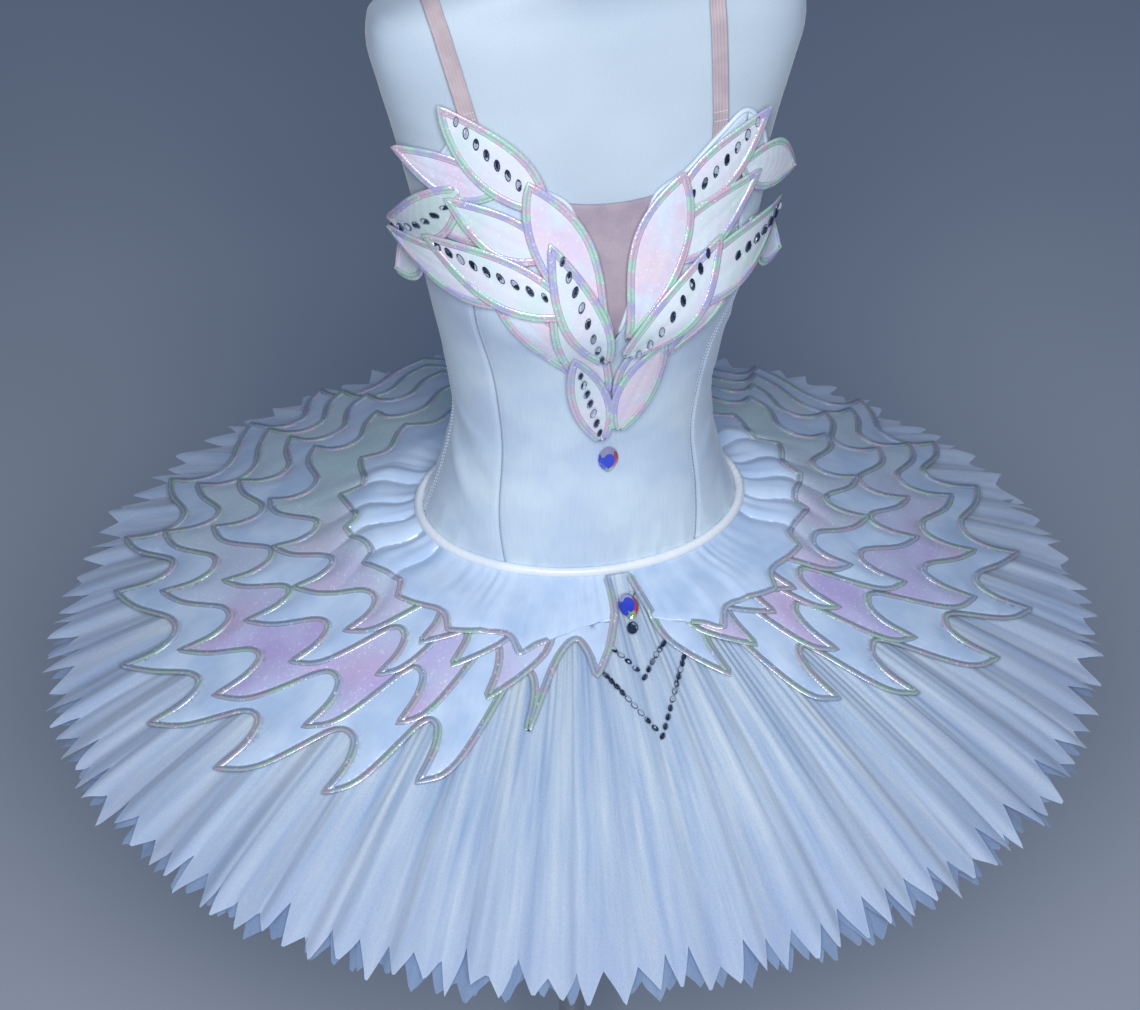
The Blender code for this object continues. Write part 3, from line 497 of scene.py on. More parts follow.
# Satin binding of the neck edge: a little duller than the piping.
BINDING = ClothFinish("neck_binding", "piping", "#DBE8F4", 0.36, "#CCDCEC", Weave.SATIN, 1.4, 0.05, 0.2)
# Hard nylon tutu net: painted near-white light along its streaks and a bluer painted shade where it thins out at the
# hem.
TOP_NET = NetFinish("top_net", "net", "#E9F5FB", 0.75, "#A8C2E4", "#B7C6E4", 0.7)
# The nets under it lie in its shade, so they read darker and bluer.
LOWER_NET = NetFinish("lower_net", "net", "#A6BAD6", 0.8, "#7F97BC", "#7790B4", 0.7, 9.0)
# Pearl film over satin: a white, a pink and a grey, each drifting into two pastels under painted white glints.
PEARL_WHITE = PearlFinish("pearl_white", "satin", "#D5E0E8", 0.3, "#DCDAE8", "#CDDEDF", 24.0, 0.3)
PEARL_PINK = PearlFinish("pearl_pink", "satin", "#D8CADF", 0.3, "#D2DCEB", "#E0D0DB", 26.0, 0.3)
PEARL_GREY = PearlFinish("pearl_grey", "satin", "#C6D2E0", 0.32, "#D2D2E2", "#C0D2D2", 22.0, 0.25)
# Shot film of the plate: lilac in front, sea green behind, painted pale there to lift the shade, and pale blue near the
# hip seam.
SHOT_LILAC = ShotFinish("shot_lilac", "shimmer", "#B5A9D8", 0.28, "#BCC4E2", "#C4ADD4", 70.0, 0.35,
                        back="#BACEDC", heart="#C6D4E8")
SHOT_GREEN = ShotFinish("shot_green", "shimmer", "#B6B0D2", 0.28, "#B0BCCE", "#C2B2D0", 55.0, 0.35,
                        back="#B0CCD2", heart="#C6D4E8")
# Laminated film cord: short bands of pastel, painted shade at the edges, painted glints, duller on the skirt.
BUST_CORD = TrimFinish("bust_cord", "piping", "#B6E0C8", 0.25, "#DFB8CF", "#BDB2E4", "#A3B9C2", 15.0)
SKIRT_CORD = TrimFinish("skirt_cord", "piping", "#A8C0B6", 0.3, "#BAACC0", "#A8B3CE", "#869AA4", 19.0)
# Foil-backed stones: each facet's dark colour is a painted reflection of the room's dark side; near-white cells are
# painted highlights.
DARK_STONE = StoneFinish("foiled_stone", "crystal", "#27304A", 0.1, "#3A4763", "#DCE6F6", 7.5, 0.55)
# Coated crystal: each facet mirrors one clear colour.
RAINBOW_STONE = RainbowFinish("rainbow_crystal", "crystal", "#3A4FDC", 0.08, "#B4C4DC", "#B8465A", 0.04, 0.35)
# Pressed metal cups and wire: a dull edge of light round the stones.
SETTING = MetalFinish("stone_setting", "steel", "#9AA3B4", 0.25, "#7F8798", 2.0)
# Ground steel of the stand: long soft reflections up the pole.
STEEL = MetalFinish("ground_steel", "steel", "#A4A8AE", 0.38, "#9A9EA5", 0.6)
# Painted studio floor: pale, matt and plain.
FLOOR = FloorFinish("painted_floor", "satin", "#C4C9D1", 0.7, "#BDC2CB")


# ---- curves and the figure
@lru_cache(maxsize=None)
def tangents(rows: tuple[Row, ...]) -> tuple[float, ...]:
    """Slope at each row of a curve that never overshoots a row."""
    slopes = [(after[1] - before[1]) / (after[0] - before[0]) for before, after in zip(rows, rows[1:])]
    inner = [0.0 if before * after <= 0.0 else 2.0 * before * after / (before + after)
             for before, after in zip(slopes, slopes[1:])]
    return (slopes[0], *inner, slopes[-1])


def smooth_at(rows: Sequence[Row], place: float) -> float:
    """Read a table through a curve that never overshoots a row.

    Args:
        rows: (place, value) rows in rising order of place.
        place: Where the table is read.
    Returns:
        The value there.
    """
    if place <= rows[0][0]:
        return rows[0][1]
    if place >= rows[-1][0]:
        return rows[-1][1]
    index = bisect_right(rows, (place, inf)) - 1
    first, second = tangents(tuple(rows))[index:index + 2]
    step = rows[index + 1][0] - rows[index][0]
    share = (place - rows[index][0]) / step
    square, cube = share * share, share ** 3
    return (rows[index][1] * (2 * cube - 3 * square + 1) + rows[index + 1][1] * (3 * square - 2 * cube)
            + first * step * (cube - 2 * square + share) + second * step * (cube - square))


def scatter(number: float, seed: float = 0.0) -> float:
    """Even, repeatable value from -1 to 1 for a whole number."""
    value = sin(number * 127.1 + seed * 311.7) * 43758.5453
    return 2.0 * (value - floor(value)) - 1.0


def drift(place: float, seed: float, period: int = 0) -> float:
    """Smooth value from -1 to 1 along a line, with a new value at each whole number.

    Args:
        place: Where it is read.
        seed: Which line it is.
        period: Whole number after which it repeats, or 0.
    Returns:
        The value there.
    """
    low = floor(place)
    share = place - low
    share = share * share * (3.0 - 2.0 * share)
    first, second = (low % period, (low + 1) % period) if period else (low, low + 1)
    return scatter(first, seed) * (1.0 - share) + scatter(second, seed) * share


def bell(distance: float, width: float) -> float:
    """Soft rise of 1 at no distance, which fades out over `width`."""
    return exp(-0.5 * (distance / width) ** 2)


def halve(low: float, high: float, is_low: Callable[[float], bool]) -> float:
    """Narrow a range down to where `is_low` turns false."""
    for _ in range(30):
        middle = 0.5 * (low + high)
        low, high = (middle, high) if is_low(middle) else (low, middle)
    return 0.5 * (low + high)


@dataclass(frozen=True)
class Figure:
    """General woman's figure that the form and the bodice follow."""
    hip_z: float = 0.95
    # height, half width, front depth, back depth, squareness (2 is an ellipse)
    sections: tuple = (
        (-0.23, 0.128, 0.098, 0.1, 2.0), (-0.2, 0.146, 0.108, 0.112, 2.0),
        (-0.12, 0.152, 0.11, 0.118, 2.0), (-0.06, 0.147, 0.107, 0.112, 2.0),
        (0.0, 0.134, 0.101, 0.1, 2.0), (0.05, 0.118, 0.093, 0.088, 2.0),
        (0.105, 0.108, 0.086, 0.078, 2.0), (0.16, 0.114, 0.092, 0.084, 2.0),
        (0.214, 0.124, 0.1, 0.092, 2.0), (0.26, 0.133, 0.108, 0.098, 2.0),
        (0.3, 0.141, 0.104, 0.101, 2.05), (0.335, 0.149, 0.096, 0.1, 2.15),
        (0.38, 0.159, 0.083, 0.096, 2.35), (0.42, 0.169, 0.073, 0.088, 2.55),
        (0.455, 0.176, 0.064, 0.077, 2.75), (0.475, 0.174, 0.058, 0.068, 2.8),
        (0.49, 0.154, 0.053, 0.061, 2.7), (0.502, 0.124, 0.053, 0.058, 2.5),
        (0.515, 0.086, 0.054, 0.058, 2.2), (0.53, 0.064, 0.056, 0.058, 2.0),
        (0.56, 0.058, 0.056, 0.057, 2.0), (0.6, 0.056, 0.054, 0.056, 2.0))
    bust_angle: float = radians(32)
    bust_spread: float = radians(20)
    bust_height: float = 0.255
    bust_rise: float = 0.034
    bust_fullness: float = 0.016
    flat_radius: float = 0.135  # turns an angle on the bodice into a flat width

    @lru_cache(maxsize=None)
    def section(self, height: float) -> tuple[float, float, float, float]:
        """Half width, front depth, back depth and squareness at a height."""
        return tuple(smooth_at([(row[0], row[column]) for row in self.sections], height) for column in (1, 2, 3, 4))

    def bust(self, angle: float, height: float) -> float:
        """Soft rise of the two cups."""
        across = sum(bell(angle - side * self.bust_angle, self.bust_spread) for side in (-1, 1))
        return self.bust_fullness * bell(height - self.bust_height, self.bust_rise) * across

    def point(self, angle: float, height: float, out: float = 0.0, bust_share: float = 1.0) -> Vector:
        """Point on the figure.

        Args:
            angle: Angle from the centre front in radians.
            height: Height over the high-hip seam.
            out: How far the point stands off.
            bust_share: Share of the bust's fullness.
        Returns:
            The point.
        """
        half_width, front, back, power = self.section(round(height, 5))
        extra = out + (bust_share * self.bust(angle, height) if bust_share else 0.0)
        sine, cosine = sin(angle), cos(angle)
        fill = (abs(sine) ** power + abs(cosine) ** power) ** (-1.0 / power)
        depth = front if cosine > 0.0 else back
        return Vector(((half_width + extra) * fill * sine, -(depth + extra) * fill * cosine, self.hip_z + height))

    def normal(self, angle: float, height: float) -> Vector:
        """Outward normal of the figure at an angle in radians."""
        here = self.point(angle, height)
        right = self.point(angle + NUDGE, height) - here
        return right.cross(self.point(angle, height + NUDGE) - here).normalized()


FIGURE = Figure()


@dataclass(frozen=True)
class SkirtFace:
    """Smooth middle face of the top net, by angle and share of the way to the hem."""
    root_z: float = -0.014
    root_out: float = 0.0039
    run: float = 0.337
    drop: float = 0.138
    convexity: float = 0.15
    tilt: float = 0.03

    def point(self, angle: float, share: float, lift: float = 0.0) -> Vector:
        """Point on the face.

        Args:
            angle: Angle from the centre front in radians.
            share: Share of the run.
            lift: Height over the face.
        Returns:
            The point.
        """
        ring = FIGURE.point(angle, self.root_z, self.run * share + self.root_out, 0.0)
        fall = self.drop * share * (1.0 - self.convexity + self.convexity * share)
        ring.z += self.tilt * ring.y * share - fall + lift
        return ring


SKIRT = SkirtFace()




# ---- building shapes
@dataclass(frozen=True)
class Spot:
    """A place on a surface with its right, up and outward directions."""
    origin: Vector
    right: Vector
    up: Vector
    out: Vector

    @classmethod
    def on(cls, point_at: Place, first: float, second: float) -> "Spot":
        """Find the spot where two parameters meet on a surface.

        Args:
            point_at: The surface.
            first: Parameter that runs to the right.
            second: Parameter that runs up, or out along a skirt.
        Returns:
            The spot.
        """
        origin = point_at(first, second)
        right = (point_at(first + NUDGE, second) - origin).normalized()
        up = (point_at(first, second + NUDGE) - origin).normalized()
        out = right.cross(up).normalized()
        return cls(origin, right, out.cross(right), out)

    def matrix(self, wide: float, long: float, deep: float, lift: float = 0.0, turn: float = 0.0) -> Matrix:
        """Matrix that lays a unit shape on the spot.

        Args:
            wide: Size to the right.
            long: Size along the up direction.
            deep: Size outwards.
            lift: Distance from the surface to the shape's middle.
            turn: Turn about the outward direction in radians.
        Returns:
            The matrix.
        """
        axes = Matrix((self.right, self.up, self.out)).transposed().to_4x4()
        scale = Matrix.Diagonal((wide, long, deep, 1.0))
        return Matrix.Translation(self.origin + self.out * lift) @ axes @ Matrix.Rotation(turn, 4, "Z") @ scale


class Shape:
    """A mesh that is being built, with a UV map in metres."""

    def __init__(self) -> None:
        """Start an empty shape."""
        self.area = 0.0  # square metres of the finished item, before it gets a wall
        self.mesh = bmesh.new()
        self.uv = self.mesh.loops.layers.uv.new("UVMap")

    def surface(self, columns: int, rows: int, place: Place, size: Row = (1.0, 1.0),
                weld: bool = False) -> "Shape":
        """Bend a flat grid onto a surface.

        Args:
            columns: Faces along the first parameter.
            rows: Faces along the second parameter.
            place: Point for two parameters from 0 to 1.
            size: Size of the UV map in metres.
            weld: True where edges meet or a row shrinks to a point.
        Returns:
            The shape itself.
        """
        made = bmesh.ops.create_grid(self.mesh, x_segments=columns, y_segments=rows, size=0.5, calc_uvs=True)["verts"]
        for face in {face for vert in made for face in vert.link_faces}:
            for loop in face.loops:
                flat = loop[self.uv].uv
                loop[self.uv].uv = (flat.x * size[0], flat.y * size[1])
        for vert in made:
            vert.co = place(vert.co.x + 0.5, vert.co.y + 0.5)
        if weld:
            bmesh.ops.remove_doubles(self.mesh, verts=made, dist=WELD)
        return self

    def tube(self, path: Sequence[Vector], ups: Sequence[Vector], width: float, height: float, around: int,
             groove: float = 0.0) -> "Shape":
        """Lay a flattened cord along a path, closed to a point at its ends.

        Args:
            path: Points of its middle line.
            ups: Outward direction at each point.
            width: Width of the cord.
            height: Height of the cord.
            around: Faces round the cord.
            groove: Depth of the groove between two ridges, as a share of the height.
        Returns:
            The shape itself.
        """
        last = len(path) - 1
        sides, length = [], 0.0
        for index, up in enumerate(ups):
            ahead = path[min(index + 1, last)]
            sides.append((ahead - path[max(index - 1, 0)]).cross(up).normalized())
            length += (ahead - path[index]).length

        def place(along: float, turn: float) -> Vector:
            """Point on the cord at a share of its length and of the way round it."""
            index, angle = round(along * last), tau * turn
            if index in (0, last):
                return path[index]
            tall = height * (1.0 - groove * bell(cos(angle), GROOVE_WIDTH))
            return path[index] + sides[index] * (0.5 * width * cos(angle)) + ups[index] * (0.5 * tall * sin(angle))

        return self.surface(last, around, place, (length, 1.0), weld=True)

    def patch(self, outline: Sequence[Row], reach: float,
              place: Callable[[float, float, float], Vector]) -> None:
        """Fill a flat outline with even triangles and lay it on a surface.

        Args:
            outline: Flat points in metres, in order.
            reach: Longest edge that is left inside.
            place: Point for a flat point and its distance from the outline.
        """
        corners = [self.mesh.verts.new((x, y, 0.0)) for x, y in outline]
        edges = [self.mesh.edges.new((corner, corners[index - 1])) for index, corner in enumerate(corners)]
        bmesh.ops.triangle_fill(self.mesh, use_beauty=True, use_dissolve=False, edges=edges)
        for _ in range(6):
            long_edges = [edge for edge in self.mesh.edges if not edge.is_boundary and edge.calc_length() > reach]
            if not long_edges:
                break
            bmesh.ops.subdivide_edges(self.mesh, edges=long_edges, cuts=1)
            bmesh.ops.triangulate(self.mesh, faces=[face for face in self.mesh.faces if len(face.verts) > 3])
            bmesh.ops.beautify_fill(self.mesh, faces=self.mesh.faces[:],
                                    edges=[edge for edge in self.mesh.edges if not edge.is_boundary])
        inner = [vert for vert in self.mesh.verts if not vert.is_boundary]
        for _ in range(4):
            bmesh.ops.smooth_vert(self.mesh, verts=inner, factor=0.5, use_axis_x=True, use_axis_y=True, use_axis_z=True)
        for face in self.mesh.faces:
            for loop in face.loops:
                loop[self.uv].uv = loop.vert.co.xy
        rim = KDTree(len(outline))
        for index, (x, y) in enumerate(outline):
            rim.insert((x, y, 0.0), index)
        rim.balance()
        for vert in self.mesh.verts:
            inset = rim.find(vert.co)[2]
            vert.co = place(vert.co.x, vert.co.y, inset)

    def cut_stone(self, matrix: Matrix, segments: int = 10) -> None:
        """Add a stone with a flat table over a bevelled crown and a short back.

        Args:
            matrix: Lays a unit stone, 1 wide, 1 long and 1 deep, on its place.
            segments: Facets round the crown.
        """
        for low, high, foot, top in ((-0.5, -0.1, 0.34, 0.5), (-0.1, 0.5, 0.5, 0.27)):
            part = Matrix.Translation((0.0, 0.0, 0.5 * (low + high)))
            bmesh.ops.create_cone(self.mesh, cap_ends=True, segments=segments, radius1=foot, radius2=top,
                                  depth=high - low, matrix=matrix @ part)

    def cup(self, matrix: Matrix) -> None:
        """Add a shallow metal cup, a unit disc that widens upwards, laid by a matrix."""
        bmesh.ops.create_cone(self.mesh, cap_ends=True, segments=10, radius1=0.4, radius2=0.5, depth=1.0, matrix=matrix)

    def bead(self, matrix: Matrix) -> None:
        """Add a small rounded bead or stitch, a unit ball laid by a matrix."""
        bmesh.ops.create_icosphere(self.mesh, subdivisions=1, radius=0.5, matrix=matrix)

    def piece(self, name: str, finish: Finish, replaces: Iterable[str] = (), wall: float = 0.0,
              out: Callable[[Vector], Vector] | None = None, flat_faces: bool = False,
              stage: bool = False) -> bpy.types.Object:
        """Turn the shape into a finished piece that rides on the body.

        Args:
            name: Name of the piece.
            finish: What it is made of.
            replaces: CAD nodes that it stands for.
            wall: Thickness that an open sheet gets on its inner side.
            out: Outward direction at a point of an open sheet, or None for closed shells.
            flat_faces: True for cut facets.
            stage: True for what isn't part of the object.
        Returns:
            The piece.
        """
        faces = self.mesh.faces[:]
        if out:
            self.mesh.normal_update()
            if sum(face.normal.dot(out(face.calc_center_median())) for face in faces) < 0.0:
                bmesh.ops.reverse_faces(self.mesh, faces=faces)
        else:
            bmesh.ops.recalc_face_normals(self.mesh, faces=faces)
        self.area = sum(face.calc_area() for face in faces)
        mesh = bpy.data.meshes.new(name)
        self.mesh.to_mesh(mesh)
        self.mesh.free()
        if not flat_faces:
            mesh.shade_smooth()
            mesh.set_sharp_from_angle(angle=radians(60.0))
        mesh.materials.append(finish.material())
        item = bpy.data.objects.new(name, mesh)
        bpy.context.collection.objects.link(item)
        LOG.info("%s: %d faces", name, len(mesh.polygons))
        if stage:
            item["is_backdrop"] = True
            return item
        if wall:
            solid = item.modifiers.new("wall", "SOLIDIFY")
            solid.thickness = wall
            solid.offset = -1.0
        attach(item, BODY)
        if replaces:
            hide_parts(*replaces)
        return item


def away_from_axis(point: Vector) -> Vector:
    """Outward direction on the body."""
    return Vector((point.x, point.y, 0.0))


def upwards(_: Vector) -> Vector:
    """Outward direction on the skirt."""
    return Vector((0.0, 0.0, 1.0))


# ---- camera, lights and floor
@dataclass(frozen=True)
class Studio:
    """Camera, plain pale floor and soft lights."""
    distance: float = 2.5
    azimuth: float = radians(-12.6)
    elevation: float = radians(36.8)
    roll: float = radians(0.8)
    shift_right: float = -0.0085  # metres that the camera stands beside its axis
    shift_up: float = -0.009
    focal_pixels: float = 2880.0  # focal length over the width of one pixel
    frame_width: float = 1140.0  # pixels
    sensor: float = 36.0  # millimetres
    floor_size: float = 14.0
    room_colour: str = "#93B6EA"
    room_strength: float = 0.2
    aim_rise: float = 0.05  # height over the high-hip seam that the lights point at
    # square soft lights: name, place, side, watts, colour
    lights: tuple = (("front_light", (-0.42, -2.05, 2.6), 0.9, 71.0, "#FAFCFF"),
                     ("back_light", (1.6, 2.6, 2.6), 1.6, 5.0, "#BFD4FA"))

    def build_camera(self) -> None:
        """Place the camera and make it the scene's."""
        back = Vector((sin(self.azimuth) * cos(self.elevation),
                       -cos(self.azimuth) * cos(self.elevation), sin(self.elevation)))
        level = Vector((cos(self.azimuth), sin(self.azimuth), 0.0))
        rise = back.cross(level)
        place = (Vector((0.0, 0.0, FIGURE.hip_z)) + back * self.distance + level * self.shift_right
                 + rise * self.shift_up)
        right = level * cos(self.roll) + rise * sin(self.roll)
        up = rise * cos(self.roll) - level * sin(self.roll)
        data = bpy.data.cameras.new("camera")
        data.sensor_width = self.sensor
        data.lens = self.focal_pixels * self.sensor / self.frame_width
        data.clip_start = 0.05
        camera = bpy.data.objects.new("camera", data)
        axes = Matrix((right, up, back)).transposed().to_4x4()
        camera.matrix_world = Matrix.Translation(place) @ axes
        bpy.context.collection.objects.link(camera)
        bpy.context.scene.camera = camera

    def build_lights(self) -> None:
        """Light the garment mainly from the front, as a flash does, with a soft fill."""
        world = bpy.data.worlds.new("studio")
        bpy.context.scene.world = world
        world.use_nodes = True
        background = world.node_tree.nodes["Background"]
        fill_inputs(world.node_tree, background, {"Color": self.room_colour, "Strength": self.room_strength})
        for name, place, size, watts, colour in self.lights:
            data = bpy.data.lights.new(name, "AREA")
            data.shape = "SQUARE"
            data.size = size
            data.energy = watts
            data.color = hex_to_linear(colour)[:3]
            light = bpy.data.objects.new(name, data)
            aim = Vector((0.0, 0.0, FIGURE.hip_z + self.aim_rise)) - Vector(place)
            light.matrix_world = Matrix.Translation(place) @ aim.to_track_quat("-Z", "Y").to_matrix().to_4x4()
            bpy.context.collection.objects.link(light)

    def build_floor(self) -> None:
        """Lay the floor."""
        Shape().surface(8, 8, lambda u, v: Vector((u - 0.5, v - 0.5, 0.0)) * self.floor_size).piece(
            "floor", FLOOR, out=upwards, flat_faces=True, stage=True)

    def build(self) -> None:
        """Build the studio."""
        self.build_camera()
        self.build_lights()
        self.build_floor()
        bpy.context.scene.view_settings.view_transform = "Standard"


# ---- dress form
@dataclass(frozen=True)
class DressForm:
    """Smooth limbless torso in a stretch cover, on a steel pole, hub and plate."""
    recess: float = 0.0035
    bust_share: float = 0.75
    columns: int = 96
    rows: int = 110
    foot: float = -0.23
    top: float = 0.6
    cap_rows: int = 6

    def place(self, u: float, v: float) -> Vector:
        """Point on the cover: a flat foot, the figure's wall, and a flat cap.

        Args:
            u: Share of the way round.
            v: Share of the way up.
        Returns:
            The point.
        """
        ends = self.cap_rows / self.rows
        share = max(0.0, min(1.0, (v - ends) / (1.0 - 2.0 * ends)))
        point = FIGURE.point(tau * u, self.foot + (self.top - self.foot) * share, -self.recess, self.bust_share)
        inwards = min(1.0, v / ends, (1.0 - v) / ends)
        return Vector((point.x * inwards, point.y * inwards, point.z))

    def build(self) -> None:
        """Build the cover and give the stand its steel."""
        Shape().surface(self.columns, self.rows, self.place, (0.85, 1.0), weld=True).piece(
            "form_cover", FORM_JERSEY, ["form_torso"])
        for name in ("form_base", "form_hub", "form_pole"):
            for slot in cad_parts[name].material_slots:
                slot.material = STEEL.material()
        LOG.info("stand: ground steel")


# ---- bodice
@dataclass(frozen=True)
class Fold:
    """Soft fold pressed into the satin, from one place to another."""
    start: Row  # angle in degrees, height
    end: Row
    width: float  # half width in metres
    rise: float  # above 0 a ridge, below 0 a trough

    def at(self, angle: float, height: float, degree: float) -> float:
        """Rise of the fold.

        Args:
            angle: Angle in degrees.
            height: Height over the high-hip seam.
            degree: Metres for one degree.
        Returns:
            The rise there.
        """
        along = Vector(((self.end[0] - self.start[0]) * degree, self.end[1] - self.start[1]))
        here = Vector(((angle - self.start[0]) * degree, height - self.start[1]))
        share = here.dot(along) / along.length_squared
        if not -0.3 < share < 1.3:
            return 0.0
        distance = (here - along * share).length
        return self.rise * bell(distance, self.width) * bell(share - 0.5, 0.32)


@dataclass(frozen=True)
class Bodice:
    """Boned satin bodice of seven panels, with its seams, binding, insert, straps and hooks."""
    inner: float = 0.001
    wall: float = 0.0015
    foot: float = -0.006
    rows: int = 64
    # angle from the centre front (degrees), height of the upper edge
    neckline: tuple = ((0, 0.233), (6.5, 0.2915), (13, 0.35), (22, 0.364), (32, 0.388), (39, 0.402), (48, 0.384),
                       (60, 0.346), (75, 0.314), (92, 0.296), (120, 0.282), (150, 0.266), (180, 0.255))
    # height, angle of the seam (degrees)
    princess_seam: tuple = ((-0.006, 36.5), (0.055, 45.5), (0.12, 47.5), (0.2, 48.0), (0.29, 46.5), (0.41, 40.0))
    side_seam: tuple = ((-0.006, 92.0), (0.41, 92.0))
    back_seam: tuple = ((-0.006, 136.0), (0.12, 139.0), (0.41, 134.0))
    centre_back: tuple = ((-0.006, 180.0), (0.41, 180.0))
    seam_dip: float = 0.0009
    seam_width: float = 0.0022
    stitch_pitch: float = 0.0032
    stitch_length: float = 0.0024
    stitch_width: float = 0.0006
    stitch_out: float = 0.0035  # between a seam and its row of stitches
    degree: float = 0.0021  # metres on the waist for one degree
    binding_width: float = 0.0042
    binding_height: float = 0.0036
    binding_steps: int = 150
    ease: Row = (1.06, 1.02)  # cloth cut for a metre of a panel's chords, across and along
    insert_lift: float = 0.0012  # between the figure's own face and the mesh
    insert_wall: float = 0.0008
    insert_flat: Row = (0.07, 0.124)
    placket: Row = (175.0, 182.0)  # degrees between which it lies
    placket_lift: float = 0.0016
    placket_wall: float = 0.0009
    placket_flat: Row = (0.0175, 0.262)
    hook_angle: float = 183.0  # degrees
    hook_size: Row = (0.0042, 0.0017)  # half its length and half its height
    hooks: int = 12
    hook_lift: float = 0.0008
    wire: float = 0.0009  # thickness of a hook
    # drag lines of worn satin: at the waist, over the hips, and the same kind behind
    folds: tuple = (
        Fold((-86, 0.105), (-50, 0.06), 0.005, -0.0024), Fold((-88, 0.086), (-54, 0.038), 0.0045, 0.0019),
        Fold((-84, 0.125), (-58, 0.1), 0.004, 0.0015), Fold((-74, 0.03), (-52, 0.012), 0.004, -0.0015),
        Fold((50, 0.15), (88, 0.118), 0.0045, -0.0019), Fold((52, 0.07), (86, 0.104), 0.005, 0.0018),
        Fold((56, 0.028), (84, 0.06), 0.0045, -0.0018), Fold((51, 0.215), (84, 0.18), 0.005, 0.0015),
        Fold((-51, 0.205), (-86, 0.168), 0.005, 0.0016), Fold((-6, 0.12), (-40, 0.098), 0.006, 0.0009),
        Fold((4, 0.108), (40, 0.128), 0.006, -0.0009), Fold((-30, 0.04), (22, 0.034), 0.005, 0.0008),
        Fold((100, 0.11), (134, 0.082), 0.005, -0.0021), Fold((-134, 0.084), (-98, 0.112), 0.005, -0.0019),
        Fold((102, 0.066), (132, 0.05), 0.0045, 0.0016), Fold((-132, 0.052), (-104, 0.07), 0.0045, 0.0018),
        Fold((142, 0.104), (174, 0.086), 0.005, 0.0015), Fold((-174, 0.09), (-143, 0.108), 0.005, -0.0016),
        Fold((144, 0.15), (172, 0.136), 0.005, -0.0015), Fold((-172, 0.142), (-144, 0.152), 0.005, 0.0015))
    # short puckers where the satin is eased into the hip seam: angle and lean in degrees
    puckers: tuple = ((-31, 3), (-24, -2), (-17.5, 4), (-9, -3), (-3, 3), (4.5, -4), (11, 2), (18, 5), (24.5, -3),
                      (31, 3), (-46, 3), (-60, -4), (-75, 3), (47, -3), (62, 4), (77, -3), (104, 3), (121, -3),
                      (-105, -3), (-122, 3), (150, 3), (165, -3), (-151, -3), (-166, 3))
    pucker_height: float = 0.034
    pucker_rise: float = 0.001
    pucker_width: float = 1.3  # degrees

    def top(self, angle: float) -> float:
        """Height of the upper edge at an angle in degrees."""
        return smooth_at(self.neckline, abs(angle))

    @lru_cache(maxsize=None)
    def seam_angle(self, seam: tuple, share: float) -> float:
        """Angle in degrees where a seam crosses the row that lies `share` up the bodice."""
        angle = smooth_at(seam, self.foot)
        for _ in range(6):
            angle = smooth_at(seam, self.height_at(angle, share))
        return angle

    def height_at(self, angle: float, share: float) -> float:
        """Height of a share of the way up the bodice, at an angle in degrees."""
        return self.foot + share * (self.top(angle) - self.foot)

    def relief(self, angle: float, height: float) -> float:
        """How far folds and puckers lift the satin.

        Args:
            angle: Angle in degrees.
            height: Height over the high-hip seam.
        Returns:
            The lift, which never goes deeper than the cloth is thick.
        """
        lift = sum(fold.at(angle, height, self.degree) for fold in self.folds)
        if height < self.pucker_height:
            fade = bell(height - 0.006, 0.4 * self.pucker_height)
            lift += fade * sum(self.pucker_rise * bell(angle - place - lean * height / self.pucker_height,
                                                       self.pucker_width) for place, lean in self.puckers)
        return max(lift, -0.6 * self.wall)

    def satin_point(self, angle: float, height: float, out: float = 0.0) -> Vector:
        """Point on the outside of the satin at an angle in degrees."""
        return FIGURE.point(radians(angle), height, self.inner + self.wall + self.relief(angle, height) + out)

    def satin_spot(self, angle: float, height: float) -> Spot:
        """Spot on the satin, its folds left out, at an angle in degrees."""
        return Spot.on(lambda turn, tall: FIGURE.point(turn, tall, self.inner + self.wall), radians(angle), height)

    def build_panel(self, name: str, seams: tuple, columns: int, side: int) -> None:
        """Build one panel.

        Args:
            name: Name of the CAD node.
            seams: The panel's two seams, or the princess seam alone for the centre front.
            columns: Faces across.
            side: 1 for the wearer's left.
        """
        centre = len(seams) == 1

        def place(u: float, v: float) -> Vector:
            """Point on the panel, with its columns gathered towards the seams."""
            first = -self.seam_angle(seams[0], v) if centre else self.seam_angle(seams[0], v)
            last = self.seam_angle(seams[-1], v)
            even = u if centre else 0.5 - 0.5 * cos(pi * u)
            angle = side * (first + (last - first) * even)
            height = self.height_at(angle, v)
            nearest = min(abs(abs(angle) - abs(edge)) for edge in (first, last)) * self.degree
            return self.satin_point(angle, height, -self.seam_dip * bell(nearest, self.seam_width))

        shape = Shape().surface(columns, self.rows, place, (0.2 if centre else 0.1, 0.3))
        across = max((place(0.0, v / 8) - place(0.5, v / 8)).length + (place(0.5, v / 8) - place(1.0, v / 8)).length
                     for v in range(9))
        tall = max((place(u, 0.0) - place(u, 0.5)).length + (place(u, 0.5) - place(u, 1.0)).length
                   for u in (0.0, 0.25, 0.5, 0.75, 1.0))
        panel = shape.piece(f"{name}_satin", BODICE_SATIN, [name], wall=self.wall, out=away_from_axis)

    def build_stitches(self) -> None:
        """Sew a row of stitches on each side of every seam."""
        shape = Shape()
        pairs = [(seam, side) for seam in (self.princess_seam, self.side_seam, self.back_seam) for side in (1, -1)]
        for seam, side in [*pairs, (self.centre_back, 1)]:
            for offset in (-self.stitch_out, self.stitch_out):
                share = 0.02
                while share < 0.985:
                    angle = side * self.seam_angle(seam, round(share, 4)) + offset / self.degree
                    height = self.height_at(angle, share)
                    shape.bead(self.satin_spot(angle, height).matrix(
                        self.stitch_width, self.stitch_length, self.stitch_width, self.relief(angle, height)))
                    share += self.stitch_pitch / (self.top(angle) - self.foot)
        shape.piece("bodice_topstitching", THREAD)

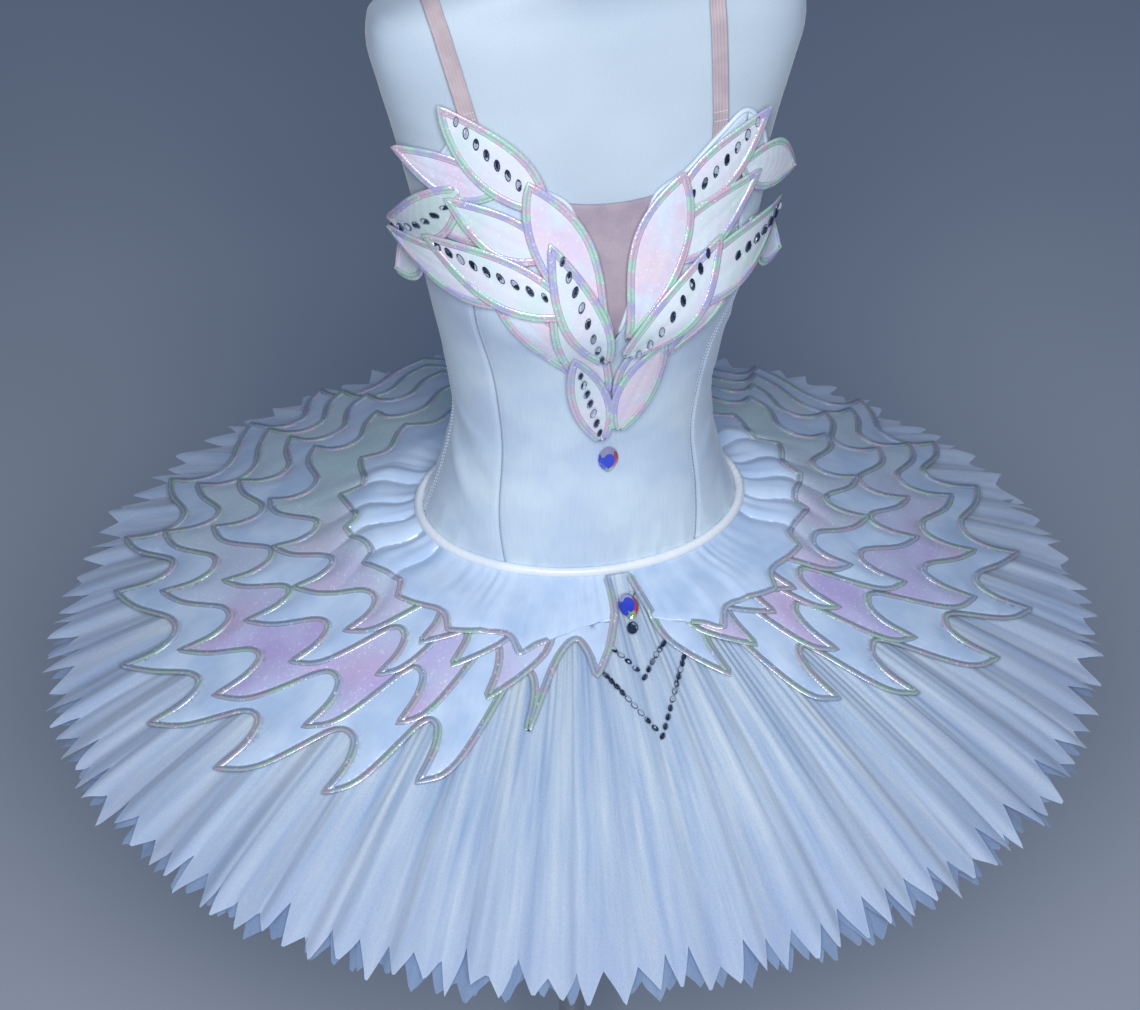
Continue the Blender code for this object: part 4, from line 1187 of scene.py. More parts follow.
    def build_binding(self) -> None:
        """Bind the upper edge from the point of the V round to the centre back."""
        shape = Shape()
        for side in (1, -1):
            path, ups = [], []
            for step in range(self.binding_steps + 1):
                angle = side * (0.4 + 179.0 * step / self.binding_steps)
                height = self.top(angle)
                path.append(FIGURE.point(radians(angle), height, self.inner + 0.5 * self.wall))
                ups.append(FIGURE.normal(radians(angle), height))
            shape.tube(path, ups, self.binding_width, self.binding_height, around=10)
        shape.piece("neckline_binding", BINDING)

    def build_insert(self) -> None:
        """Fill the deep V with skin-toned mesh that has a narrow hem along its top."""
        corner_angle, corner_height = self.neckline[2]
        foot = self.neckline[0][1]

        def place(u: float, v: float) -> Vector:
            """Point on the insert, which dips a little along its upper edge."""
            across = 2.0 * u - 1.0
            angle = max(corner_angle * v - 0.25, 0.02) * across
            height = foot + 0.002 + (corner_height - foot - 0.001) * v - 0.0025 * v * (1.0 - across ** 2)
            return FIGURE.point(radians(angle), height, self.inner + self.insert_lift + 0.0004 * (v > 0.95))

        shape = Shape().surface(28, 48, place, (0.062, 0.12))
        insert = shape.piece("neck_insert_mesh", SKIN_MESH, ["neck_insert"], wall=self.insert_wall, out=away_from_axis)

    def build_hooks(self) -> None:
        """Lay the closing placket over the centre back, with the hooks that show along its edge."""
        start, span = self.placket[0], self.placket[1] - self.placket[0]

        def placket(u: float, v: float) -> Vector:
            """Point on the placket, which laps from the wearer's left over the centre."""
            height = self.foot + 0.004 + v * (self.top(178.0) - self.foot - 0.006)
            edge = bell((1.0 - u) * span, 0.5) * 0.0005
            return FIGURE.point(radians(start + span * u), height, self.inner + self.wall + self.placket_lift - edge)

        band = Shape().surface(14, 60, placket, (0.016, 0.25)).piece(
            "closing_placket", BODICE_SATIN, wall=self.placket_wall, out=away_from_axis)

        hooks = Shape()
        for number in range(self.hooks):
            height = self.foot + 0.014 + (self.top(180.0) - self.foot - 0.026) * number / (self.hooks - 1)
            spot = self.satin_spot(self.hook_angle, height)
            turns = [radians(-150 + 30 * step) for step in range(11)]
            path = [spot.origin + spot.right * (self.hook_size[0] * cos(turn))
                    + spot.up * (self.hook_size[1] * sin(turn)) + spot.out * self.hook_lift for turn in turns]
            hooks.tube(path, [spot.out] * len(path), self.wire, self.wire, around=6)
        hooks.piece("closing_hooks", SETTING)

    def build(self) -> None:
        """Build the whole bodice."""
        self.build_panel("bodice_centre_front", (self.princess_seam,), 64, 1)
        for letter, side in SIDES:
            self.build_panel(f"bodice_side_front_{letter}", (self.princess_seam, self.side_seam), 30, side)
            self.build_panel(f"bodice_side_back_{letter}", (self.side_seam, self.back_seam), 28, side)
            self.build_panel(f"bodice_back_{letter}", (self.back_seam, self.centre_back), 28, side)
        self.build_stitches()
        self.build_binding()
        self.build_insert()
        self.build_hooks()


BODICE = Bodice()


@dataclass(frozen=True)
class Straps:
    """Ribbed elastic straps from the bust over the shoulders to the back."""
    # side letter, side, distance from the middle at the ridge and at the front end, front height
    rows: tuple = (("L", 1, 0.089, 0.09, 0.399), ("R", -1, 0.128, 0.106, 0.416))
    back_across: float = 0.072
    back_height: float = 0.276
    width: float = 0.013
    out: float = 0.0026
    wall: float = 0.0012
    spans: int = 66
    rib: float = 0.0004
    reach: float = 1.1  # past each end, where the strap runs down behind the bodice
    sink: float = 0.0026  # how far those ends sink towards the figure
    stitch_rows: tuple = (0.045, 0.06, 0.94, 0.955)  # shares of the length

    def spot(self, strap: tuple, along: float) -> tuple[Vector, Vector]:
        """Middle of a strap over the figure.

        Args:
            strap: The strap's row.
            along: Place from -1 at the front to 1 at the back.
        Returns:
            The point and the figure's normal there.
        """
        _, _, ridge_across, front_across, front_height = strap
        half_widths = [(row[0], row[1]) for row in FIGURE.sections]
        ridge = halve(0.48, 0.53, lambda height: smooth_at(half_widths, height) > ridge_across)
        end_across = front_across if along < 0 else self.back_across
        end_height = front_height if along < 0 else self.back_height
        height = ridge - 0.0002 - (ridge - end_height) * along ** 2
        across = ridge_across + (end_across - ridge_across) * along ** 2 - 0.0002
        angle = halve(0.0, 0.5 * pi, lambda turn: FIGURE.point(turn, height, 0.0, 0.0).x < across)
        angle = angle if along < 0 else pi - angle
        return FIGURE.point(angle, height), FIGURE.normal(angle, height)

    def build(self) -> None:
        """Build both straps with the boxes of stitches at their ends."""
        stitches = Shape()
        for strap in self.rows:
            letter, side = strap[0], strap[1]
            along = [self.reach * (2.0 * span / self.spans - 1.0) for span in range(self.spans + 1)]
            spots = [self.spot(strap, share) for share in along]
            length = sum((spots[span + 1][0] - spots[span][0]).length for span in range(self.spans))

            def place(u: float, v: float) -> Vector:
                """Point on the strap's outer face, with five ribs along it."""
                index = round(v * self.spans)
                here, normal = spots[index]
                run = spots[min(index + 1, self.spans)][0] - spots[max(index - 1, 0)][0]
                across = run.cross(normal).normalized() * (self.width * (u - 0.5))
                rib = self.rib * abs(sin(5.0 * pi * u))
                past = max(0.0, abs(along[index]) - 0.985) / (self.reach - 0.985)
                point = here + across + normal * (self.out + rib - self.sink * min(1.0, 1.6 * past))
                return Vector((side * point.x, point.y, point.z))

            item = Shape().surface(20, self.spans, place, (self.width, length)).piece(
                f"strap_{letter}_elastic", STRAP_ELASTIC, [f"strap_{letter}"], wall=self.wall,
                out=lambda point: point - Vector((0.0, 0.0, FIGURE.hip_z + 0.38)))
            for end in self.stitch_rows:
                for number in range(6):
                    middle = place(0.12 + 0.152 * number, round(end * self.spans) / self.spans)
                    stitches.bead(Matrix.Translation(middle) @ Matrix.Diagonal((0.0016, 0.0008, 0.0008, 1.0)))
        stitches.piece("strap_stitches", THREAD)


@dataclass(frozen=True)
class HipPiping:
    """Satin-covered cord over the seam where bodice and skirt meet."""
    out: float = 0.0066
    half_depth: float = 0.004
    half_height: float = 0.0045
    wave: float = 0.0004  # how far the seam wanders up and down
    columns: int = 360
    around: int = 16

    def place(self, u: float, v: float) -> Vector:
        """Point on the piping, whose bias cover twists in fine slanting creases.

        Args:
            u: Share of the way round the body.
            v: Share of the way round the cord.
        Returns:
            The point.
        """
        angle, turn = tau * u, tau * v
        crease = 0.05 * sin(95.0 * angle + 2.0 * turn) * drift(18.0 * u, 5.0, 18)
        point = FIGURE.point(angle, 0.0, self.out + self.half_depth * (1.0 + crease) * cos(turn), 0.0)
        point.z += self.half_height * (1.0 + crease) * sin(turn) + self.wave * drift(24.0 * u, 8.0, 24)
        return point

    def build(self) -> None:
        """Build the piping."""
        Shape().surface(self.columns, self.around, self.place, (0.8, 0.025), weld=True).piece(
            "hip_piping", PIPING_SATIN, ["basque_piping"])


@dataclass(frozen=True)
class Brief:
    """Close-fitting brief that the nets are sewn to."""
    top: float = -0.0066
    frill: float = 0.0012  # of the elastic at the legs
    flat: Row = (0.9, 0.19)
    low_front: float = -0.188
    low_side: float = -0.104
    out: float = 0.0025
    wall: float = 0.0015
    columns: int = 160
    rows: int = 30

    def place(self, u: float, v: float) -> Vector:
        """Point on the brief, with a gathered elastic along each leg opening.

        Args:
            u: Share of the way round.
            v: Share of the way down.
        Returns:
            The point.
        """
        angle = tau * u
        middle = 0.5 * (self.low_front + self.low_side)
        low = middle + (self.low_front - middle) * cos(2.0 * angle)
        height = self.top + (low - self.top) * v
        frill = self.frill * bell(1.0 - v, 0.06) * (1.0 + sin(80.0 * angle))
        return FIGURE.point(angle, height, self.out + frill, 0.0)

    def build(self) -> None:
        """Build the brief."""
        shape = Shape().surface(self.columns, self.rows, self.place, (0.88, 0.15), weld=True)
        item = shape.piece("brief_knit", BRIEF_KNIT, ["brief"], wall=self.wall, out=away_from_axis)


# ---- nets
@dataclass(frozen=True)
class Net:
    """One gathered net of the skirt, with a pointed hem."""
    node: str
    level: int
    pleats: int  # large pleats, as in the solid
    dags: int  # points of the hem
    run: float
    finish: NetFinish
    columns_per_dag: int
    rows: int = 30
    spacing_root: float = 0.013
    spacing_hem: float = 0.0086
    rise_root: float = 0.001
    rise_hem: float = 0.0031
    dag_depth: float = 0.031
    tip_spread: float = 0.005  # half of how unevenly the points end
    lean: float = 0.18  # how far a point leans, as a share of its width
    sway: float = 0.26  # how far a point swings to the side, as a share of its width
    droop: float = 0.004  # of the hem's own edge
    fine_folds: int = 2  # fine folds for each point of the hem
    fine_rise: float = 0.0036
    ridge_rise: float = 0.0017
    wander: float = 0.0028
    tuck: float = 0.0085  # the top net rises this far to tuck under the piping
    tuck_share: float = 0.07

    def hem_share(self, place: float) -> float:
        """Share of the run that the hem reaches.

        Args:
            place: Place round the hem, counted in its points.
        Returns:
            The share.
        """
        number = floor(place)
        local = place - number
        tip = self.run - self.tip_spread * (1.0 + scatter(number % self.dags, 2.0 + self.level))
        lean = 0.5 + self.lean * scatter(number % self.dags, 3.0 + self.level)
        side = local / lean if local < lean else (1.0 - local) / (1.0 - lean)
        notch = (number + (local > lean)) % self.dags
        valley = self.run - self.dag_depth * (0.95 + 0.32 * scatter(notch, 1.0 + self.level))
        return (valley + (tip - valley) * side) / SKIRT.run

    def pleat_wave(self, angle: float) -> float:
        """The solid's own uneven pleats."""
        shift = 0.35 * sin(3 * angle + self.level) + 0.25 * sin(5 * angle - 2 * self.level)
        return cos(self.pleats * angle + shift)

    def lift(self, place: float, angle: float, share: float) -> float:
        """Height of the net's pleats, folds and wandering over the skirt's face.

        Args:
            place: Place round the hem, counted in its points.
            angle: Angle in radians.
            share: Share of the run.
        Returns:
            The height.
        """
        spacing = self.spacing_root + (self.spacing_hem - self.spacing_root) * share
        rise = self.rise_root + (self.rise_hem - self.rise_root) * share
        front = bell(remainder(angle, tau), 0.85)
        open_out = share ** (2.5 - 1.0 * front)
        ridge = -cos(tau * place)
        strength = 0.6 + 0.4 * drift(place - 0.5, 7.0 + self.level, self.dags)
        fine = sin(tau * self.fine_folds * place + 2.2 * drift(0.31 * place, 4.0, 0))
        fine *= 0.65 + 0.35 * drift(0.5 * place, 6.0, 0)
        lift = -self.level * spacing + rise * self.pleat_wave(angle)
        lift += self.ridge_rise * open_out * ridge * strength
        lift += self.wander * open_out * drift(0.5 * place, 9.0 + self.level, self.dags // 2)
        # the gathers are deep at the root, open out towards the hem and are pressed flat in front
        calm = 1.0 - 0.7 * bell(remainder(angle, tau), 0.17) * (self.level == 0)
        lift += self.fine_rise * fine * calm * max(0.0, 1.0 - share) ** 1.8
        lift -= self.droop * share ** 9 * (1.0 + drift(float(floor(place)), 12.0 + self.level))
        if self.level == 0 and share < self.tuck_share:
            lift += self.tuck * (1.0 - share / self.tuck_share) ** 2
        return lift

    def place(self, u: float, v: float) -> Vector:
        """Point on the net.

        Args:
            u: Share of the way round.
            v: Share of the way to the hem.
        Returns:
            The point.
        """
        count = u * self.dags
        hem = self.hem_share(count % self.dags)
        share = v * hem
        sway = self.sway * drift(count + 0.5, 15.0 + self.level, self.dags) * v * v
        angle = tau * (u + (0.5 * self.level + sway) / self.dags)
        lift = self.lift(count % self.dags, tau * u, share)
        if self.level:
            # the lower nets are sewn to the brief below one another, so their roots follow it
            root = FIGURE.point(angle, SKIRT.root_z - self.level * self.spacing_root, SKIRT.root_out, 0.0)
            face = SKIRT.point(angle, share, lift)
            return root.lerp(face, min(1.0, share / 0.12)) if share < 0.12 else face
        return SKIRT.point(angle, share, lift)

    def build(self) -> None:
        """Build the net."""
        half_width, front, back, _ = FIGURE.section(0.0)
        hem_length = pi * (half_width + 0.5 * (front + back) + 2.0 * self.run)
        net = Shape().surface(self.dags * self.columns_per_dag, self.rows, self.place, (hem_length, self.run),
                              weld=True).piece(f"{self.node}_net", self.finish, [self.node], out=upwards)


@dataclass(frozen=True)
class Skirt:
    """The six nets, longest on top."""
    nets: tuple = (
        Net("net_1_top", 0, 50, 128, 0.337, TOP_NET, 10, fine_rise=0.0021),
        Net("net_2", 1, 36, 118, 0.334, LOWER_NET, 8, 26, dag_depth=0.03),
        Net("net_3", 2, 30, 88, 0.326, LOWER_NET, 10, 24),
        Net("net_4", 3, 26, 80, 0.306, LOWER_NET, 8, 20),
        Net("net_5", 4, 20, 64, 0.262, LOWER_NET, 8, 16),
        Net("net_6_lowest", 5, 14, 46, 0.19, LOWER_NET, 8, 14))

    def build(self) -> None:
        """Build every net."""
        for net in self.nets:
            net.build()


# ---- plate on the skirt
@dataclass(frozen=True)
class Tier:
    """One lobed tier of the plate."""
    node: str
    level: int
    lobes: int
    first_tip: float  # degrees
    inner: float  # share of the skirt's run where the tier begins
    lobe_depth: float  # share of the skirt's run
    reach: tuple  # rows of angle in degrees, share that the tips reach
    finish: Finish


@dataclass(frozen=True)
class Plate:
    """Lobed tiers of satin and shot pearl, edged with cord, and the gathered yoke above them."""
    tiers: tuple = (
        Tier("plate_outer", 0, 12, 19.5, 0.125, 0.145,
             ((15, 0.35), (33, 0.54), (47, 0.67), (61, 0.74), (90, 0.79), (128, 0.86), (172, 0.9)), PLATE_SATIN),
        Tier("plate_middle", 1, 11, 27.0, 0.135, 0.135,
             ((15, 0.24), (31, 0.35), (45, 0.49), (61, 0.58), (90, 0.66), (128, 0.74), (172, 0.8)), SHOT_LILAC),
        Tier("plate_inner", 2, 10, 36.0, 0.125, 0.12,
             ((30, 0.24), (45, 0.34), (61, 0.42), (90, 0.5), (128, 0.6), (172, 0.68)), PLATE_SATIN),
        Tier("plate_crown", 3, 8, 46.0, 0.125, 0.105,
             ((40, 0.24), (61, 0.3), (90, 0.36), (128, 0.45), (172, 0.52)), SHOT_GREEN))
    wall: float = 0.0012
    first_lift: float = 0.0066
    lift_step: float = 0.0027
    trim: tuple = (("L", 0.26), ("R", 0.0))  # how much shorter each side's foremost tips are
    trim_from: float = 70.0  # degrees, where that begins
    tip_spread: float = 0.012  # unevenness of the tips, as a share of the run
    least_width: float = 0.03
    front_angle: float = 7.5
    back_angle: float = 176.0
    front_inset: float = 9.0
    flat_radius: float = 0.3  # turns an angle into a flat width
    root_radius: float = 0.117  # mean radius at the hip seam
    reach: float = 0.0085  # longest edge inside a tier
    puff: float = 0.0015  # rise of the cloth between its sewn edges
    edge_drop: float = 0.0007
    ripple: float = 0.0009  # slow unevenness of the cloth between its edges
    back_drop: float = 0.5  # share of the tiers' spacing lost where they meet the back opening
    cord_width: float = 0.0068
    cord_height: float = 0.0031
    cord_lift: float = 0.0003  # of its middle line over a tier's face
    # the yoke's front edge as rows of share, degrees from the centre front
    yoke_front: tuple = (("L", ((0.0, 7.0), (0.2, 10.6))),
                         ("R", ((0.0, 0.9), (0.06, 0.4), (0.107, 0.6), (0.125, 1.1))))
    yoke_inner: float = 0.004
    yoke_tuck: float = 0.0024  # rise of its root under the piping
    yoke_columns: int = 560
    # angle in degrees, level at which the yoke lies clear over the highest tier there
    yoke_levels: tuple = ((13.0, 1.0), (16.0, 2.0), (22.0, 2.0), (25.0, 3.0), (31.0, 3.0), (34.0, 4.0))
    yoke_start: tuple = ((5.0, 0.128), (10.0, 0.141), (16.0, 0.172), (20.0, 0.19), (23.6, 0.222))
    yoke_cord_from: float = 17.2  # degrees
    yoke_cord_lift: float = 0.0005
    yoke_pitch: float = 17.86  # degrees from one lobe's tip to the next
    yoke_reach: tuple = ((23.6, 0.222), (41.5, 0.206), (61.0, 0.18), (90.0, 0.182), (128.0, 0.245), (172.0, 0.34))
    yoke_depth: tuple = ((23.6, 0.044), (61.0, 0.034), (90.0, 0.036), (128.0, 0.065), (172.0, 0.08))
    # guide points of a tier's lobe: share of the way to the next tip, share of the lobe's depth
    # below its own tip, and for the last below the next tip
    lobe_guides: tuple = ((-0.03, 0.62), (0.08, 1.0), (0.34, 0.92), (0.7, 0.42))
    # the yoke's lobe: share of the way to the next tip, share of the lobe's depth
    lobe_fall: tuple = ((0.0, 0.0), (0.06, 0.38), (0.14, 0.8), (0.24, 0.98), (0.34, 0.97), (0.5, 0.78), (0.75, 0.36),
                        (1.0, 0.0))
    # small finger beside the centre front, on the wearer's right: (degrees, share)
    finger: tuple = ((3.6, 0.195), (6.8, 0.262), (8.0, 0.205), (10.4, 0.165), (13.4, 0.18), (16.4, 0.245))
    folds: int = 6
    fold_first: float = 52.0
    fold_last: float = 130.0
    fold_rise: float = 0.0062
    crinkle: float = 0.0008

    def fold_wave(self, angle: float) -> float:
        """Broad gathers with narrow troughs between them over the hip, at an angle in degrees."""
        fade = max(0.0, min(1.0, (angle - self.fold_first) / 9.0, (self.fold_last - angle) / 9.0))
        place = (angle - self.fold_first) / (self.fold_last - self.fold_first) * self.folds
        place += 0.3 * drift(place, 22.0)
        ridge = abs(sin(pi * place)) ** 0.7 * (0.74 + 0.26 * scatter(floor(place), 21.0))
        return fade * (ridge - 0.4)

    def stack(self, level: float, angle: float) -> float:
        """Height of a tier's upper face over the skirt, at an angle in degrees."""
        return self.first_lift + self.lift_step * level * (1.0 - self.back_drop * bell(self.back_angle - angle, 4.0)) \
            + self.wall

    def gathers(self, angle: float, share: float) -> float:
        """Rise of the folds that fan out from the hip seam, at an angle in degrees."""
        bend = 30.0 * share * drift(share * 9.0, 41.0)
        fine = sin(radians(angle) * 46.0 + 5.0 * drift(angle / 11.0, 43.0)) * drift(angle / 6.0, 45.0)
        large = self.fold_rise * self.fold_wave(angle + bend) * bell(max(0.0, share - 0.09), 0.085)
        return large * min(1.0, 0.5 + share / 0.05) + self.crinkle * fine * bell(share - 0.03, 0.07)

    def lobe_row(self, tier: Tier, letter: str) -> list[list[Row]]:
        """Guide points of each lobe's edge, from tip to tip.

        Args:
            tier: The tier.
            letter: Side letter.
        Returns:
            For each lobe, its points as (degrees, share).
        """
        pitch = (self.back_angle - 5.0 - tier.first_tip) / (tier.lobes - 1)
        tips = []
        for lobe in range(tier.lobes):
            angle = tier.first_tip + pitch * lobe + 1.2 * sin(2.3 * lobe + tier.level)
            cut = dict(self.trim)[letter] * max(0.0, 1.0 - angle / self.trim_from)
            reach = smooth_at(tier.reach, angle) * (1.0 - cut)
            tips.append((angle, reach + self.tip_spread * sin(1.9 * lobe + 2 * tier.level)))
        lobes = []
        for (angle, share), (next_angle, next_share) in zip(tips, tips[1:]):
            step = next_angle - angle
            starts = (share, share, share, next_share)
            guides = [(angle + along * step, start - deep * tier.lobe_depth)
                      for start, (along, deep) in zip(starts, self.lobe_guides)]
            lobes.append([(angle, share), *guides, (next_angle, next_share)])
        return lobes

    def edge(self, tier: Tier, letter: str) -> list[Row]:
        """Smooth lobed edge with sharp tips, from the front edge's foot to the back edge's.

        Args:
            tier: The tier.
            letter: Side letter.
        Returns:
            Its points as (degrees, share).
        """
        lobes = self.lobe_row(tier, letter)
        start = self.front_angle + self.front_inset * tier.level
        first_share = lobes[0][0][1]
        if tier.level == 0:
            start = self.front_line(letter, tier.inner)
        front = [(start, tier.inner), (start + 2.0, tier.inner + 0.4 * (first_share - tier.inner)), lobes[0][0]]
        if tier.level == 0 and letter == "R":
            lobes.insert(0, [*self.finger[1:], lobes[0][0]])
            front = [front[0], *self.finger[:2]]
        last = lobes[-1][-1]
        back_share = last[1] - 1.2 * tier.lobe_depth
        back = [last, (self.back_angle, back_share), (self.back_angle, 0.5 * (back_share + tier.inner)),
                (self.back_angle, tier.inner)]
        least = tier.inner + 0.7 * self.least_width
        points = [front[0]]
        for guides in [front, *lobes, back]:
            bent = self.rounded(guides)
            keep = least if guides in lobes else tier.inner
            points += [(angle, max(share, keep)) for angle, share in bent[1:]]
        return points

    def rounded(self, guides: Sequence[Row], steps: int = 9) -> list[Row]:
        """Draw a smooth curve through guide points.

        Args:
            guides: The points.
            steps: Pieces for each span.
        Returns:
            Points of the curve, with its ends on the first and last guide.
        """
        scale = radians(1.0) * self.flat_radius / SKIRT.run
        spots = [Vector((angle * scale, share)) for angle, share in guides]
        spots = [2 * spots[0] - spots[1]] + spots + [2 * spots[-1] - spots[-2]]
        curve = []
        for index in range(1, len(spots) - 2):
            before, here, ahead, after = spots[index - 1:index + 3]
            for step in range(steps):
                share = step / steps
                curve.append(0.5 * (2 * here + (ahead - before) * share
                                    + (2 * before - 5 * here + 4 * ahead - after) * share ** 2
                                    + (3 * here - before - 3 * ahead + after) * share ** 3))
        curve.append(spots[-2])
        return [(spot.x / scale, spot.y) for spot in curve]

    def top(self, tier: Tier, side: int, angle: float, share: float, inset: float) -> Vector:
        """Point on a tier's upper face.

        Args:
            tier: The tier.
            side: 1 for the wearer's left.
            angle: Angle in degrees.
            share: Share of the run.
            inset: Distance from the tier's edge in metres.
        Returns:
            The point.
        """
        lift = self.stack(tier.level, angle)
        lift -= self.edge_drop * bell(inset, 0.006)
        lift += self.puff * (1.0 - bell(inset, 0.01))
        ripple = drift(angle / 6.5, 31.0 + tier.level) * drift(share * 14.0, 35.0 + tier.level)
        lift += self.ripple * ripple * (1.0 - bell(inset, 0.012))
        lift += self.gathers(angle, share)
        return SKIRT.point(side * radians(angle), share, lift)

    def build_tier(self, tier: Tier, letter: str, side: int) -> None:
        """Build one tier and its cord.

        Args:
            tier: The tier.
            letter: Side letter.
            side: 1 for the wearer's left.
        """
        edge = self.edge(tier, letter)
        start = edge[0][0]
        steps = 30
        inner = [(self.back_angle + (start - self.back_angle) * step / steps, tier.inner) for step in range(1, steps)]
        degree = radians(1.0) * self.flat_radius
        outline = [(angle * degree, share * SKIRT.run) for angle, share in edge + inner]
        shape = Shape()
        shape.patch(outline, self.reach, lambda x, y, inset: self.top(tier, side, x / degree, y / SKIRT.run, inset))
        cloth = shape.piece(f"{tier.node}_{letter}_cloth", tier.finish, [f"{tier.node}_{letter}"], wall=self.wall,
                            out=upwards)
        bed = Vector((0.0, 0.0, self.cord_lift))
        path = [self.top(tier, side, angle, share, 0.0) + bed for angle, share in edge]
        if tier.level == 0:
            # the foremost cord runs up the yoke's front edge and under the piping
            rise = [0.01 + 0.0125 * step for step in range(10)]
            path = [self.yoke_point(side, self.front_line(letter, share), share) for share in rise] + path[1:]
        trim = self.build_cord(f"{tier.node}_{letter}_cord", path)
        shares = [share for _, share in edge]
        radius = self.root_radius + 0.5 * (tier.inner + max(shares)) * SKIRT.run
        long = radians(self.back_angle - start) * radius
        wide = (max(shares) - tier.inner) * SKIRT.run
        min(shape.area, wide * long)

    def build_cord(self, name: str, path: Sequence[Vector]) -> bpy.types.Object:
        """Lay the doubled cord along a path.

        Args:
            name: Name of the piece.
            path: Points of its middle line, some of which may nearly coincide.
        Returns:
            The cord.
        """
        path = [point for index, point in enumerate(path) if not index or (point - path[index - 1]).length > 0.0008]
        ups = [Vector((0.0, 0.0, 1.0))] * len(path)
        return Shape().tube(path, ups, self.cord_width, self.cord_height, 10, groove=0.35).piece(name, SKIRT_CORD)

    def front_line(self, letter: str, share: float) -> float:
        """Angle in degrees of the yoke's front edge."""
        return smooth_at(dict(self.yoke_front)[letter], share)

    def yoke_end(self, angle: float) -> float:
        """Place of the yoke's lobed edge.

        Args:
            angle: Angle in degrees.
        Returns:
            Share of the run where it lies.
        """
        first = self.yoke_start[-1][0]
        if angle < first:
            return smooth_at(self.yoke_start, angle)
        lobe, local = divmod((angle - first) / self.yoke_pitch, 1.0)
        tips = [smooth_at(self.yoke_reach, first + self.yoke_pitch * number)
                + 0.01 * scatter(number, 24.0) * (number > 1) for number in (lobe, lobe + 1)]
        depth = smooth_at(self.yoke_depth, angle) * (1.0 + 0.15 * scatter(lobe, 25.0))
        return tips[0] * (1.0 - local) + tips[1] * local - depth * smooth_at(self.lobe_fall, local)

    def yoke_point(self, side: int, angle: float, share: float) -> Vector:
        """Point on the yoke, which climbs over the tiers.

        Args:
            side: 1 for the wearer's left.
            angle: Angle in degrees.
            share: Share of the run.
        Returns:
            The point.
        """
        climb = max(0.0, min(1.0, (share - 0.02) / 0.13))
        climb = climb * climb * (3.0 - 2.0 * climb)
        level = 1.0 + (smooth_at(self.yoke_levels, angle) - 1.0) * climb
        lift = self.stack(level, angle)
        lift += self.gathers(angle, share) + self.yoke_tuck * max(0.0, 1.0 - share / 0.176) ** 8
        return SKIRT.point(side * radians(angle), share, lift)

    def build_yoke(self, letter: str, side: int) -> None:
        """Build the gathered satin between the piping and the tiers, and the cord on its lobed edge.

        Args:
            letter: Side letter.
            side: 1 for the wearer's left.
        """
        def spot(u: float, v: float) -> Row:
            """Angle in degrees and share of a place on the yoke."""
            first = self.front_line(letter, 0.128 * v)
            angle = first + (self.back_angle + 0.5 - first) * u
            return angle, self.yoke_inner + (self.yoke_end(angle) - self.yoke_inner) * v

        def place(u: float, v: float) -> Vector:
            """Point on the yoke, with its edge drawn down by the cord."""
            point = self.yoke_point(side, *spot(u, v))
            point.z -= 2.0 * self.edge_drop * bell(1.0 - v, 0.05)
            return point

        shape = Shape().surface(self.yoke_columns, 34, place, (0.42, 0.085))
        yoke = shape.piece(f"plate_yoke_{letter}_satin", PLATE_SATIN, [f"plate_yoke_{letter}"], wall=self.wall,
                           out=upwards)
        # the cord begins just before the first lobe, and the satin before it is only turned under
        steps = [step / self.yoke_columns for step in range(self.yoke_columns + 1)]
        rim = [place(step, 1.0) + Vector((0.0, 0.0, self.yoke_cord_lift)) for step in steps
               if spot(step, 1.0)[0] > self.yoke_cord_from]
        trim = self.build_cord(f"plate_yoke_{letter}_cord", rim)
        ends = [spot(step / 50, 1.0)[1] for step in range(51)]

    def build(self) -> None:
        """Build both sides of the plate."""
        for letter, side in SIDES:
            self.build_yoke(letter, side)
            for tier in self.tiers:
                self.build_tier(tier, letter, side)


# ---- feather appliques and stones
@dataclass(frozen=True)
class Leaf:
    """One feather applique of the bust, from its covered base to its free tip."""
    place: str  # end of its node's name
    base: Row  # angle in degrees, height
    tip: Row
    width: float
    bend: float  # sideways bow of the middle line
    levels: Row  # lift level at the base and at the tip
    flare: float = 0.0  # how far the tip stands off
    finish: PearlFinish = PEARL_WHITE
    stones: Row = (0.0, 0.0)  # shares between which it carries a row of stones
    belly: float = 0.86  # larger where the leaf is widest nearer its tip


